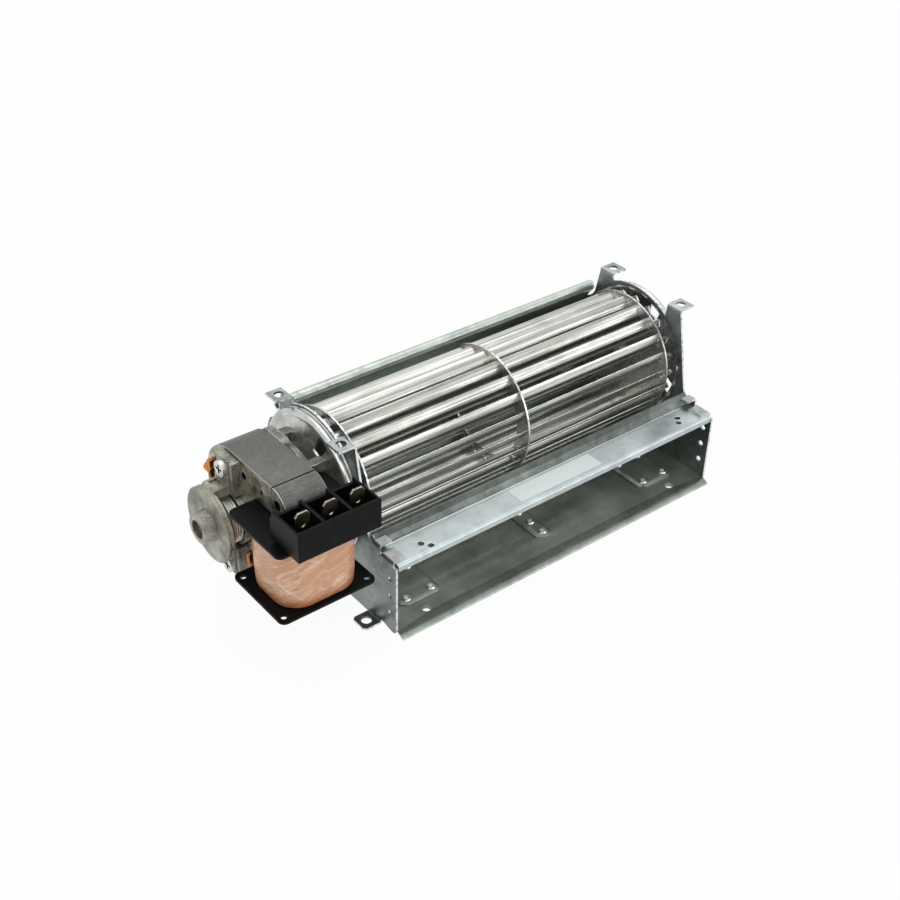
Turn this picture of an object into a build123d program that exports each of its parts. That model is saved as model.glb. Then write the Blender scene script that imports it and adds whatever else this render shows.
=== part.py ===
from build123d import *

import os
from math import atan2, cos, degrees, hypot, radians, sin

# Cross flow fan with a shaded-pole motor on its left end, in millimetres.
# X runs along the shaft away from the motor, Y from the outlet to the back, Z up.
# The origin is midway between the two foot holes, on the undersides of the feet.
# Sizes across the shaft are measured from the shaft axis: back is +, up is +.

# Shaft axis above and behind the origin
AXIS_Y = 41.0
AXIS_Z = 47.0
SHAFT = Axis((0, AXIS_Y, AXIS_Z), (1, 0, 0))
SHAFT_RADIUS = 3.0

# Housing sheets
PLATE_INNER = 90.2
PLATE_SHEET = 1.0
PLATE_OUTER = PLATE_INNER + PLATE_SHEET
DUCT_TOP_HALF = 89.7
STEP_TOP = (-40.8, -7.2)
FLANGE_END = 85.0
SCROLL_SHEET = 0.8
OUTLET_FRONT = -56.0
FLOOR_TOP = -44.5
LIP_FRONT = (-59.0, -46.2)
DUCT_TOP = -10.0
FLOOR_HOLE = (72.0, -51.4)
FLOOR_HOLE_RADIUS = 2.0
PAD_X = 69.6
PAD_Y = -34.35
END_PAD = (20.8, 24.1)
MIDDLE_PAD = (8.8, 24.1)
PAD_CORNER = 2.8
PAD_HEIGHT = 0.5
SCROLL_CENTRE = (-2.0, -5.7)
SCROLL_RADIUS = SCROLL_CENTRE[1] - FLOOR_TOP
PLATE_MARGIN = 1.7
SCROLL_END_ANGLE = 41.0
CURL_RADIUS = 2.55
CURL_SWEEP = 300.0

# Mounting lugs
LUG_HOLE_RADIUS = 2.25
TOP_LUG_TOP = 33.4
TOP_LUG_REACH = 98.8
TOP_LUG_HOLE_X = 94.6
FRONT_LUG = (-29.5, -20.9)
REAR_LUG = (15.2, 23.7)
FRONT_LUG_HOLE_Y = -25.0
REAR_LUG_HOLE_Y = 19.5
FOOT = (-45.5, -36.4)
FOOT_REACH = 99.4
FOOT_HOLE_X = 95.3
FOOT_HOLE_Y = -AXIS_Y
FOOT_UNDERSIDE = -AXIS_Z

# Dished centre of an end plate
DISH_RIM_RADIUS = 32.3
DISH_SHOULDER_RADIUS = 29.8
DISH_SHOULDER_X = 94.0
DISH_HUB_X = 98.2
DISH_HUB_RADIUS = 11.5
WINDOW_INNER = 21.3
WINDOW_OUTER = 29.2
WINDOW_ANGLE = 24.0
WINDOW_SPREAD = 13.0
LEFT_HUB_HOLE = 10.0
RIGHT_HUB_HOLE = 8.0

# Rubber grommet of the far end bearing
GROMMET_INNER = 95.6
GROMMET_OUTER = 100.0
GROMMET_RADIUS = 10.2
FAR_BEARING_X = 94.8
FAR_BEARING_LENGTH = 6.0

# Impeller
BLADE_COUNT = 21
DISC_RADIUS = 30.5
DISC_SHEET = 0.8
LEFT_DISC_FACE = -83.85
RIGHT_DISC_FACE = 84.6
BLADE_ROOT_RADIUS = 24.0
BLADE_TIP_RADIUS = 29.5
BLADE_LEAD = 12.5
BLADE_BULGE = 1.3
BLADE_SHEET = 0.5
RING_BORE = 22.6
SLOT_GAP = 0.1
TAB_WIDTH = 3.6
TAB_THICKNESS = 2.2
TAB_LENGTH = 5.3
HUB_RADIUS = 7.0
HUB_LENGTH = 7.5
STUB_INSIDE = 2.0
STUB_END = 100.4

# Motor
STACK_LEFT = -129.2
STACK_RIGHT = -110.0
STACK_DEPTH = STACK_RIGHT - STACK_LEFT
STACK_HALF = 30.0
STACK_BACK = 20.8
STACK_CORNER = 20.0
CORE_JOINT = -29.0
CORE_FRONT = -40.0
CORE_CORNER = 10.5
WINDOW_BACK = -15.4
WINDOW_HALF = 17.2
BORE_RADIUS = 12.6
ROTOR_RADIUS = 12.2
ROTOR_LEFT = STACK_LEFT - 2.6
ROTOR_RIGHT = STACK_RIGHT + 2.6
SHAFT_LEFT = -145.8
SHAFT_RIGHT = -81.5
ROTOR_BOSS_RADIUS = 5.0
ROTOR_BOSS = 2.0
SCREW_PLACES = ((0.4, 24.0), (0.4, -24.0))
SCREW_RADIUS = 2.0
SCREW_HEAD_RADIUS = 3.5
SCREW_HEAD_DEPTH = 2.2
SCREW_OVER = 1.5
SCREW_HOLE_RADIUS = 2.2
RING_FEET = ((12.6, 11.6), (13.2, 18.6))
RING_WIRE = 2.4
RING_OVERHANG = 3.6

# Bearings, their felts and retainers, the same at both brackets
BEARING_RADIUS = 5.5
BEARING_BORE = 3.04
BEARING_LENGTH = 7.5
BRACKET_DISC = 2.5
BRACKET_BOSS = 5.0
BOSS_RADIUS = 7.0
BOSS_LIP = 2.0
BOSS_HOLE = 4.6
FELT_RADIUS = 12.2
FELT_LENGTH = 2.6
RETAINER_RADIUS = 11.2
RETAINER_SHEET = 1.2
RETAINER_BORE = 4.2
BRACKET_DISC_RADIUS = 16.3
BRACKET_RING_RADIUS = 20.5
OUTER_DISC_X = -139.5
INNER_DISC_X = -102.5
ARM_Y = 1.4
ARM_WIDTH = 8.8
ARM_INNER = 12.9
ARM_OUTER = 17.0
EAR_DEPTH = 3.8
EAR_SIZE = (14.0, 17.1)
EAR_CENTRE = (1.0, 21.45)
EAR_CORNER = 2.0

# Posts of the inner bracket on the left end plate
POST_Y = 12.8
POST_Z = 17.9
POST_SIZE = 4.6
POST_END = -93.0

# Bobbin and terminals
COIL_X = -119.6
FLANGE_TOP = 16.5
FLANGE_SHEET = 1.2
SPOOL_HALF = FLANGE_TOP - FLANGE_SHEET
FLANGE_SIZE = (44.6, 36.5)
FLANGE_Y = -33.95
SPOOL_WALL = 1.0
WINDING_SIZE = (35.4, 31.5)
WINDING_CORNER = 11.0
WINDING_Y = -34.25
BLOCK_SIZE = (37.0, 19.0)
BLOCK_Y = -51.0
BLOCK_BOTTOM = 18.0
BLOCK_TOP = 31.0
BLOCK_BACK_TOP = 28.0
BLOCK_WALL = 1.4
POCKET_FLOOR = 21.0
TERMINAL_PITCH = 12.15
TERMINAL_Y = -54.0
TERMINAL_SHEET = 0.8


def across(x, turn=0.0):
    """Plane across the shaft at x: local x to the back and local y up, turned about the shaft."""
    back = (0, cos(radians(turn)), sin(radians(turn)))
    return Plane(origin=(x, AXIS_Y, AXIS_Z), x_dir=back, z_dir=(1, 0, 0))


def level(z):
    """Level plane at z above the shaft: local x along the shaft, local y to the back."""
    return Plane(origin=(0, AXIS_Y, AXIS_Z + z))


def upright(y):
    """Upright plane at y behind the shaft: local x along the shaft, local y up, facing the outlet."""
    return Plane(origin=(0, AXIS_Y + y, AXIS_Z), x_dir=(1, 0, 0), z_dir=(0, -1, 0))


def write(piece, name):
    """Label a finished piece and write its file."""
    piece.part.label = name
    export_step(piece.part, f"parts/{name}.step")


def sheet_section(points, bends, thickness, side):
    """Section of a folded sheet whose one face runs through the points and whose body lies to one side."""
    with BuildSketch() as section:
        with BuildLine():
            FilletPolyline(*points, radius=bends)
            offset(amount=thickness, side=side)
        make_face()
    return section.sketch


# Housing

def make_scroll_housing():
    """Rolled sheet: lip and floor of the duct, the scroll's back, and the curl on its rear edge."""
    end = radians(SCROLL_END_ANGLE)
    curl_reach = SCROLL_RADIUS + CURL_RADIUS
    curl_centre = (SCROLL_CENTRE[0] + curl_reach * cos(end), SCROLL_CENTRE[1] + curl_reach * sin(end))
    with BuildPart() as scroll_housing:
        with BuildSketch(across(-PLATE_INNER)):
            with BuildLine():
                faces = []
                for depth in (0.0, SCROLL_SHEET):
                    floor = Polyline((LIP_FRONT[0] - depth / 2, LIP_FRONT[1] - depth),
                                     (OUTLET_FRONT - depth / 4, FLOOR_TOP - depth),
                                     (SCROLL_CENTRE[0], FLOOR_TOP - depth))
                    CenterArc(SCROLL_CENTRE, SCROLL_RADIUS + depth, -90, 90 + SCROLL_END_ANGLE)
                    curl = CenterArc(curl_centre, CURL_RADIUS - depth, SCROLL_END_ANGLE + 180, -CURL_SWEEP)
                    faces.append((floor @ 0, curl @ 1))
                Line(faces[0][0], faces[1][0])
                Line(faces[0][1], faces[1][1])
            make_face()
        extrude(amount=2 * PLATE_INNER)
        with BuildSketch(level(FLOOR_TOP)):
            with Locations((-FLOOR_HOLE[0], FLOOR_HOLE[1]), FLOOR_HOLE):
                Circle(FLOOR_HOLE_RADIUS)
        extrude(amount=-SCROLL_SHEET, mode=Mode.SUBTRACT)

        # Raised pads that stiffen the duct floor
        with BuildSketch(level(FLOOR_TOP)) as pads:
            with Locations((-PAD_X, PAD_Y), (PAD_X, PAD_Y)):
                Rectangle(*END_PAD)
            with Locations((0, PAD_Y)):
                Rectangle(*MIDDLE_PAD)
            chamfer(pads.vertices(), length=PAD_CORNER)
        extrude(amount=PAD_HEIGHT)
    write(scroll_housing, "scroll_housing")


def make_duct_top_plate():
    """Folded sheet over the outlet: front flange, flat top, step up and the hem beside the impeller."""
    points = [(OUTLET_FRONT, -13.2), (OUTLET_FRONT, DUCT_TOP), (-42.2, DUCT_TOP), STEP_TOP,
              (-37.9, -5.2), (-36.0, -9.0)]
    with BuildPart() as duct_top_plate:
        with BuildSketch(across(-DUCT_TOP_HALF)):
            add(sheet_section(points, [1.2, 1.0, 1.0, 1.0], SCROLL_SHEET, Side.RIGHT))
        extrude(amount=2 * DUCT_TOP_HALF)
    write(duct_top_plate, "duct_top_plate")


def folded_lug(side, span, start, corner, reach, bend):
    """Sheet folded outwards from an end plate into a lug, between two places along Y."""
    turn = Side.RIGHT if side * (corner - start) > 0 else Side.LEFT
    points = [(side * PLATE_INNER, start), (side * PLATE_INNER, corner), (side * reach, corner)]
    with BuildPart() as lug:
        with BuildSketch(upright(span[1])):
            add(sheet_section(points, bend, PLATE_SHEET, turn))
        extrude(amount=span[1] - span[0])
    return lug.part


def make_end_plate(side, name):
    """Pressed end sheet: duct and scroll wall, two top lugs, a foot and the dished centre with windows."""
    scroll_edge = SCROLL_RADIUS + PLATE_MARGIN
    edge_start = (33.8, 13.2)
    crown = hypot(20.3, 26.4)
    crown_end = (15.0, 0.893 * crown)
    edge_bottom = (SCROLL_CENTRE[0], SCROLL_CENTRE[1] - scroll_edge)
    edge_middle = (SCROLL_CENTRE[0] + scroll_edge * cos(radians(-30)),
                   SCROLL_CENTRE[1] + scroll_edge * sin(radians(-30)))
    lug_bend = TOP_LUG_TOP - 2.5
    lugs = [folded_lug(side, FRONT_LUG, lug_bend - 1, TOP_LUG_TOP, TOP_LUG_REACH, 1.8),
            folded_lug(side, REAR_LUG, lug_bend - 1, TOP_LUG_TOP, TOP_LUG_REACH, 1.8),
            folded_lug(side, FOOT, FOOT_UNDERSIDE + 5, FOOT_UNDERSIDE, FOOT_REACH, 1.3)]
    with BuildPart() as plate:
        with BuildSketch(across(side * PLATE_INNER)):
            with BuildLine():
                Polyline(edge_bottom, (-45.4, edge_bottom[1]), (-45.6, FLOOR_TOP), (-46.6, FLOOR_TOP),
                         (-50.7, -45.4), (-54.4, -45.9), (OUTLET_FRONT, FLOOR_TOP), (OUTLET_FRONT, -11.5),
                         (-39.6, -11.5), (-36.9, -4.9), (FRONT_LUG[0], lug_bend), (FRONT_LUG[1], lug_bend),
                         (-20.3, 26.4))
                ThreePointArc((-20.3, 26.4), (0, crown), crown_end)
                Polyline(crown_end, (REAR_LUG[0], lug_bend), (REAR_LUG[1], lug_bend), (26.4, 18.2),
                         (29.8, 15.6), edge_start)
                ThreePointArc(edge_start, edge_middle, edge_bottom)
            make_face()
            Circle(DISH_RIM_RADIUS - 0.3, mode=Mode.SUBTRACT)
        extrude(amount=side * PLATE_SHEET)

        # Dish, turned about the shaft from its section
        hub_hole = LEFT_HUB_HOLE if side < 0 else RIGHT_HUB_HOLE
        dish = [(PLATE_OUTER, DISH_RIM_RADIUS + 0.3), (PLATE_OUTER, DISH_RIM_RADIUS),
                (DISH_SHOULDER_X, DISH_SHOULDER_RADIUS), (DISH_HUB_X, DISH_HUB_RADIUS),
                (DISH_HUB_X, hub_hole)]
        with BuildSketch(upright(0)):
            with BuildLine():
                Polyline(*[(side * x, r) for x, r in dish])
                outward = Side.RIGHT if side > 0 else Side.LEFT
                offset(amount=PLATE_SHEET, side=outward, kind=Kind.INTERSECTION)
            make_face()
        revolve(axis=SHAFT)

        # Air windows through the web of the dish, with arcs round the shaft as their inner and outer ends
        with BuildSketch(across(side * PLATE_OUTER)):
            with BuildLine():
                inner = CenterArc((0, 0), WINDOW_INNER, -WINDOW_SPREAD / 2, WINDOW_SPREAD)
                outer = CenterArc((0, 0), WINDOW_OUTER, -WINDOW_SPREAD / 2, WINDOW_SPREAD)
                Line(inner @ 0, outer @ 0)
                Line(inner @ 1, outer @ 1)
            window = make_face(mode=Mode.PRIVATE)
            with PolarLocations(0, 4, start_angle=WINDOW_ANGLE):
                add(window)
        extrude(amount=side * (DISH_HUB_X - PLATE_OUTER), mode=Mode.SUBTRACT)

        # Folded lugs and foot
        add(lugs)
        outer_corners = plate.edges().filter_by(Axis.Z).group_by(Axis.X)[-1 if side > 0 else 0]
        chamfer(outer_corners, length=1.2)
        with BuildSketch(level(TOP_LUG_TOP)):
            with Locations((side * TOP_LUG_HOLE_X, FRONT_LUG_HOLE_Y),
                           (side * TOP_LUG_HOLE_X, REAR_LUG_HOLE_Y)):
                Circle(LUG_HOLE_RADIUS)
        extrude(amount=-1.5, mode=Mode.SUBTRACT)
        with BuildSketch(level(FOOT_UNDERSIDE)):
            with Locations((side * FOOT_HOLE_X, FOOT_HOLE_Y)):
                Circle(LUG_HOLE_RADIUS)
        extrude(amount=1.5, mode=Mode.SUBTRACT)

        # Two flanges folded inwards: one lies on the duct top, one on the step behind it
        for span, rest in (((-54.0, -46.0), DUCT_TOP), ((-45.0, STEP_TOP[0]), STEP_TOP[1])):
            flange = [(side * PLATE_OUTER, -14.0), (side * PLATE_OUTER, rest + PLATE_SHEET),
                      (side * FLANGE_END, rest + PLATE_SHEET)]
            with BuildSketch(upright(span[1])):
                add(sheet_section(flange, 1.4, PLATE_SHEET, Side.LEFT if side > 0 else Side.RIGHT))
            extrude(amount=span[1] - span[0])
    write(plate, name)


# Far end bearing

def make_right_bearing():
    """Rubber grommet in the right dish, and the sleeve bearing in it."""
    inside = DISH_HUB_X - PLATE_SHEET
    with BuildPart() as right_grommet:
        with BuildSketch(upright(0)):
            with BuildLine():
                Polyline((GROMMET_INNER, BEARING_RADIUS), (GROMMET_INNER, GROMMET_RADIUS),
                         (inside, GROMMET_RADIUS), (inside, RIGHT_HUB_HOLE),
                         (GROMMET_OUTER, RIGHT_HUB_HOLE), (GROMMET_OUTER, BEARING_RADIUS), close=True)
            make_face()
        revolve(axis=SHAFT)
    write(right_grommet, "right_grommet")

    with BuildPart() as right_bearing:
        with BuildSketch(across(FAR_BEARING_X)):
            Circle(BEARING_RADIUS)
            Circle(BEARING_BORE, mode=Mode.SUBTRACT)
        extrude(amount=FAR_BEARING_LENGTH)
    write(right_bearing, "right_bearing")


# Impeller

def tip_point():
    """Tip of a blade, ahead of its root in the sense of rotation."""
    lead = radians(-BLADE_LEAD)
    return (BLADE_TIP_RADIUS * cos(lead), BLADE_TIP_RADIUS * sin(lead))


def blade_lean():
    """Angle of a blade's chord in the plane whose local x runs through the blade's root."""
    tip = tip_point()
    return degrees(atan2(tip[1], tip[0] - BLADE_ROOT_RADIUS))


def blade_middle():
    """Middle of a blade's curved back."""
    tip = tip_point()
    square = radians(blade_lean() + 90)
    across_chord = (BLADE_ROOT_RADIUS + tip[0]) / 2 + BLADE_BULGE * cos(square)
    along_chord = tip[1] / 2 + BLADE_BULGE * sin(square)
    return (across_chord, along_chord)


MIDDLE_RADIUS = hypot(*blade_middle())
MIDDLE_ANGLE = degrees(atan2(blade_middle()[1], blade_middle()[0]))


def blade_section():
    """Curved strip from root to tip."""
    with BuildSketch() as section:
        with BuildLine():
            ThreePointArc((BLADE_ROOT_RADIUS, 0), blade_middle(), tip_point())
            offset(amount=BLADE_SHEET, side=Side.RIGHT)
        make_face()
    return section.sketch


def ring_slot():
    """Six-sided slot round the blade's section, set out from the root along the chord."""
    chord = hypot(tip_point()[0] - BLADE_ROOT_RADIUS, tip_point()[1])
    low, high = BLADE_SHEET + 0.05, BLADE_BULGE + 0.12
    outline = [(-0.3, -0.2), (0.2, -low), (chord - 0.2, -low),
               (chord + 0.3, -0.2), (chord - 2.0, high), (2.0, high)]
    with BuildSketch() as slot:
        with Locations(Location((BLADE_ROOT_RADIUS, 0, 0), (0, 0, blade_lean()))):
            Polygon(*outline, align=None)
    return slot.sketch


def make_blades():
    """Blades that run the whole length through the centre ring, each with a tab through either end disc."""
    pitch = 360 / BLADE_COUNT
    lean = blade_lean()
    for number in range(BLADE_COUNT):
        turn = 180 - MIDDLE_ANGLE - number * pitch
        with BuildPart() as blade:
            with BuildSketch(across(LEFT_DISC_FACE, turn)):
                add(blade_section())
            extrude(amount=RIGHT_DISC_FACE - LEFT_DISC_FACE)
            for face, way in ((LEFT_DISC_FACE, -1), (RIGHT_DISC_FACE, 1)):
                with BuildSketch(across(face, turn)):
                    with Locations(blade_middle()):
                        Rectangle(TAB_WIDTH, TAB_THICKNESS, rotation=lean)
                extrude(amount=way * TAB_LENGTH)
        write(blade, f"blade_{number + 1:02d}")


def make_end_disc(face, way, bore, name):
    """End disc with a straight slot for each blade's tab."""
    with BuildPart() as disc:
        with BuildSketch(across(face)):
            Circle(DISC_RADIUS)
            Circle(bore, mode=Mode.SUBTRACT)
            with PolarLocations(MIDDLE_RADIUS, BLADE_COUNT, start_angle=180):
                Rectangle(TAB_WIDTH + 2 * SLOT_GAP, TAB_THICKNESS + 2 * SLOT_GAP,
                          rotation=blade_lean() - MIDDLE_ANGLE, mode=Mode.SUBTRACT)
        extrude(amount=way * DISC_SHEET)
    write(disc, name)


def make_centre_ring():
    """Ring that braces the blades at mid length, with a slot for each."""
    with BuildPart() as centre_ring:
        with BuildSketch(across(-DISC_SHEET / 2)):
            Circle(DISC_RADIUS)
            Circle(RING_BORE, mode=Mode.SUBTRACT)
            with PolarLocations(0, BLADE_COUNT, start_angle=180 - MIDDLE_ANGLE):
                add(ring_slot(), mode=Mode.SUBTRACT)
        extrude(amount=DISC_SHEET)
    write(centre_ring, "centre_ring")


def make_hubs():
    """Hub on the motor shaft at the left disc, and the stub shaft with its flange at the right one."""
    left_outside = LEFT_DISC_FACE - DISC_SHEET
    right_outside = RIGHT_DISC_FACE + DISC_SHEET
    with BuildPart() as left_hub:
        with BuildSketch(across(left_outside)):
            Circle(HUB_RADIUS)
            Circle(SHAFT_RADIUS, mode=Mode.SUBTRACT)
        extrude(amount=-HUB_LENGTH)
    write(left_hub, "left_hub")

    with BuildPart() as stub_shaft:
        with BuildSketch(across(right_outside)):
            Circle(HUB_RADIUS)
        extrude(amount=HUB_LENGTH)
        with BuildSketch(across(RIGHT_DISC_FACE - STUB_INSIDE)):
            Circle(SHAFT_RADIUS)
        extrude(amount=STUB_END - RIGHT_DISC_FACE + STUB_INSIDE)
    write(stub_shaft, "stub_shaft")


# Motor

def ring_frame(way):
    """Middle, direction and length of the line between the two legs of a shading ring."""
    (y1, z1), (y2, z2) = RING_FEET
    middle = (way * (y1 + y2) / 2, way * (z1 + z2) / 2)
    return middle, degrees(atan2(z2 - z1, y2 - y1)), hypot(y2 - y1, z2 - z1)


def make_stator():
    """C frame with its bore and coil window, and the bar that closes it through the coil."""
    with BuildPart() as stator_stack:
        with BuildSketch(across(STACK_LEFT)) as lamination:
            with Locations((STACK_BACK, 0)):
                Rectangle(STACK_BACK - CORE_JOINT, 2 * STACK_HALF, align=(Align.MAX, Align.CENTER))
            fillet(lamination.vertices().group_by(Axis.X)[-1], radius=STACK_CORNER)
            with Locations((CORE_JOINT, 0)):
                Rectangle(WINDOW_BACK - CORE_JOINT, 2 * WINDOW_HALF, align=(Align.MIN, Align.CENTER),
                          mode=Mode.SUBTRACT)
            Circle(BORE_RADIUS, mode=Mode.SUBTRACT)
            with Locations(*SCREW_PLACES):
                Circle(SCREW_HOLE_RADIUS, mode=Mode.SUBTRACT)
            for way in (1, -1):
                for foot in RING_FEET:
                    with Locations((way * foot[0], way * foot[1])):
                        Rectangle(RING_WIRE, RING_WIRE, rotation=ring_frame(1)[1], mode=Mode.SUBTRACT)
        extrude(amount=STACK_DEPTH)
    write(stator_stack, "stator_stack")

    with BuildPart() as coil_core_stack:
        with BuildSketch(across(STACK_LEFT)) as bar:
            with Locations((CORE_JOINT, 0)):
                Rectangle(CORE_JOINT - CORE_FRONT, 2 * STACK_HALF, align=(Align.MAX, Align.CENTER))
            fillet(bar.vertices().group_by(Axis.X)[0], radius=CORE_CORNER)
        extrude(amount=STACK_DEPTH)
    write(coil_core_stack, "coil_core_stack")


def make_shading_rings():
    """Closed copper loop through each pole, on opposite sides of the bore."""
    for way, name in ((1, "shading_ring_upper"), (-1, "shading_ring_lower")):
        middle, lean, length = ring_frame(way)
        along = (0, cos(radians(lean)), sin(radians(lean)))
        aside = Vector(1, 0, 0).cross(Vector(*along))
        centre = (STACK_LEFT + STACK_DEPTH / 2, AXIS_Y + middle[0], AXIS_Z + middle[1])
        with BuildPart() as ring:
            with BuildSketch(Plane(origin=centre, x_dir=(1, 0, 0), z_dir=aside)):
                Rectangle(STACK_DEPTH + 2 * RING_OVERHANG, length + RING_WIRE)
                Rectangle(STACK_DEPTH + 2 * (RING_OVERHANG - RING_WIRE), length - RING_WIRE,
                          mode=Mode.SUBTRACT)
            extrude(amount=RING_WIRE / 2, both=True)
        write(ring, name)


def make_bobbin():
    """Moulded bobbin: spool, two flanges and the terminal block with three open pockets."""
    core_middle = (CORE_FRONT + CORE_JOINT) / 2
    core_size = (STACK_DEPTH, CORE_JOINT - CORE_FRONT)
    with BuildPart() as coil_bobbin:
        with BuildSketch(level(-SPOOL_HALF)):
            with Locations((COIL_X, core_middle)):
                Rectangle(core_size[0] + 2 * SPOOL_WALL, core_size[1] + 2 * SPOOL_WALL)
        extrude(amount=2 * SPOOL_HALF)
        for bottom in (SPOOL_HALF, -FLANGE_TOP):
            with BuildSketch(level(bottom)):
                with Locations((COIL_X, FLANGE_Y)):
                    RectangleRounded(*FLANGE_SIZE, 3.0)
            extrude(amount=FLANGE_SHEET)
        with BuildSketch(level(-FLANGE_TOP)):
            with Locations((COIL_X, core_middle)):
                Rectangle(*core_size)
        extrude(amount=2 * FLANGE_TOP, mode=Mode.SUBTRACT)

        # Terminal block on a neck in front of the stack
        with BuildSketch(level(FLANGE_TOP)):
            with Locations((COIL_X, -47.0)):
                Rectangle(32.0, 9.0)
        extrude(amount=BLOCK_BOTTOM - FLANGE_TOP)
        with BuildSketch(level(BLOCK_BOTTOM)):
            with Locations((COIL_X, BLOCK_Y)):
                Rectangle(*BLOCK_SIZE)
        extrude(amount=BLOCK_TOP - BLOCK_BOTTOM)
        with BuildSketch(level(POCKET_FLOOR)):
            with Locations((COIL_X, BLOCK_Y)):
                with GridLocations(TERMINAL_PITCH, 1, 3, 1):
                    Rectangle(TERMINAL_PITCH - BLOCK_WALL, BLOCK_SIZE[1] - 2 * BLOCK_WALL)
        extrude(amount=BLOCK_TOP - POCKET_FLOOR, mode=Mode.SUBTRACT)
        with BuildSketch(level(BLOCK_BACK_TOP)):
            with Locations((COIL_X, BLOCK_Y + BLOCK_SIZE[1] / 2 - BLOCK_WALL)):
                Rectangle(BLOCK_SIZE[0], BLOCK_WALL, align=(Align.CENTER, Align.MIN))
        extrude(amount=BLOCK_TOP - BLOCK_BACK_TOP, mode=Mode.SUBTRACT)
    write(coil_bobbin, "coil_bobbin")


def make_winding():
    """Taped winding round the spool, between the flanges."""
    core_middle = (CORE_FRONT + CORE_JOINT) / 2
    with BuildPart() as coil_winding:
        with BuildSketch(level(-SPOOL_HALF)):
            with Locations((COIL_X, WINDING_Y)):
                RectangleRounded(*WINDING_SIZE, WINDING_CORNER)
            with Locations((COIL_X, core_middle)):
                Rectangle(STACK_DEPTH + 2 * SPOOL_WALL, CORE_JOINT - CORE_FRONT + 2 * SPOOL_WALL,
                          mode=Mode.SUBTRACT)
        extrude(amount=2 * SPOOL_HALF)
    write(coil_winding, "coil_winding")


def make_terminals():
    """Flat blade terminals that stand in the pockets of the block, each on its shoulders."""
    top, half = 35.0, 3.15
    for number in range(3):
        x = COIL_X + (number - 1) * TERMINAL_PITCH
        with BuildPart() as terminal:
            with BuildSketch(upright(TERMINAL_Y)):
                with BuildLine():
                    Polyline((x - 4.3, POCKET_FLOOR), (x + 4.3, POCKET_FLOOR), (x + 4.3, POCKET_FLOOR + 3),
                             (x + half, POCKET_FLOOR + 3), (x + half, top - 1.5), (x + half - 1.2, top),
                             (x - half + 1.2, top), (x - half, top - 1.5), (x - half, POCKET_FLOOR + 3),
                             (x - 4.3, POCKET_FLOOR + 3), close=True)
                make_face()
            extrude(amount=TERMINAL_SHEET / 2, both=True)
        write(terminal, f"terminal_{number + 1}")


def bearing_housing(disc_x, way, disc_radius):
    """Disc and outer boss of a bracket, bored for the bearing. The motor lies the other way."""
    with BuildPart() as housing:
        with BuildSketch(across(disc_x)):
            Circle(disc_radius)
        extrude(amount=way * BRACKET_DISC)
        with BuildSketch(across(disc_x + way * BRACKET_DISC)):
            Circle(BOSS_RADIUS)
        extrude(amount=way * BRACKET_BOSS)
        with BuildSketch(across(disc_x)):
            Circle(BEARING_RADIUS)
        extrude(amount=way * (BRACKET_DISC + BRACKET_BOSS - BOSS_LIP), mode=Mode.SUBTRACT)
    return housing.part


def bracket_ear(face, way, disc_x, up):
    """Arm from the bracket's disc to the stack's face, with the ear that its screw passes."""
    foot = face + way * EAR_DEPTH
    with BuildPart() as ear:
        with BuildSketch(upright(ARM_Y + ARM_WIDTH / 2)):
            with BuildLine():
                Polyline((face, up * ARM_INNER), (face, up * (ARM_OUTER + 2)), (foot, up * (ARM_OUTER + 2)),
                         (foot, up * ARM_OUTER), (disc_x, up * ARM_OUTER),
                         (disc_x + way, up * (ARM_OUTER - 1.5)), (disc_x + way, up * ARM_INNER), close=True)
            make_face()
        extrude(amount=ARM_WIDTH)
        with BuildSketch(across(face)) as outline:
            with Locations((EAR_CENTRE[0], up * EAR_CENTRE[1])):
                Rectangle(*EAR_SIZE)
            fillet(outline.vertices().group_by(Axis.Y)[-1 if up > 0 else 0], radius=EAR_CORNER)
            with Locations((SCREW_PLACES[0][0], up * SCREW_PLACES[0][1])):
                Circle(SCREW_HOLE_RADIUS, mode=Mode.SUBTRACT)
        extrude(amount=way * EAR_DEPTH)
    return ear.part


def make_outer_bracket():
    """Die-cast bracket over the rotor's outer end: bearing housing, two arms and two ears on the stack."""
    pieces = [bearing_housing(OUTER_DISC_X, -1, BRACKET_DISC_RADIUS),
              bracket_ear(STACK_LEFT, -1, OUTER_DISC_X, 1), bracket_ear(STACK_LEFT, -1, OUTER_DISC_X, -1)]
    with BuildPart() as outer_bracket:
        add(pieces)
        with BuildSketch(across(OUTER_DISC_X - BRACKET_DISC - BRACKET_BOSS)):
            Circle(BOSS_HOLE)
        extrude(amount=BOSS_LIP, mode=Mode.SUBTRACT)
    write(outer_bracket, "outer_bracket")


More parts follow.
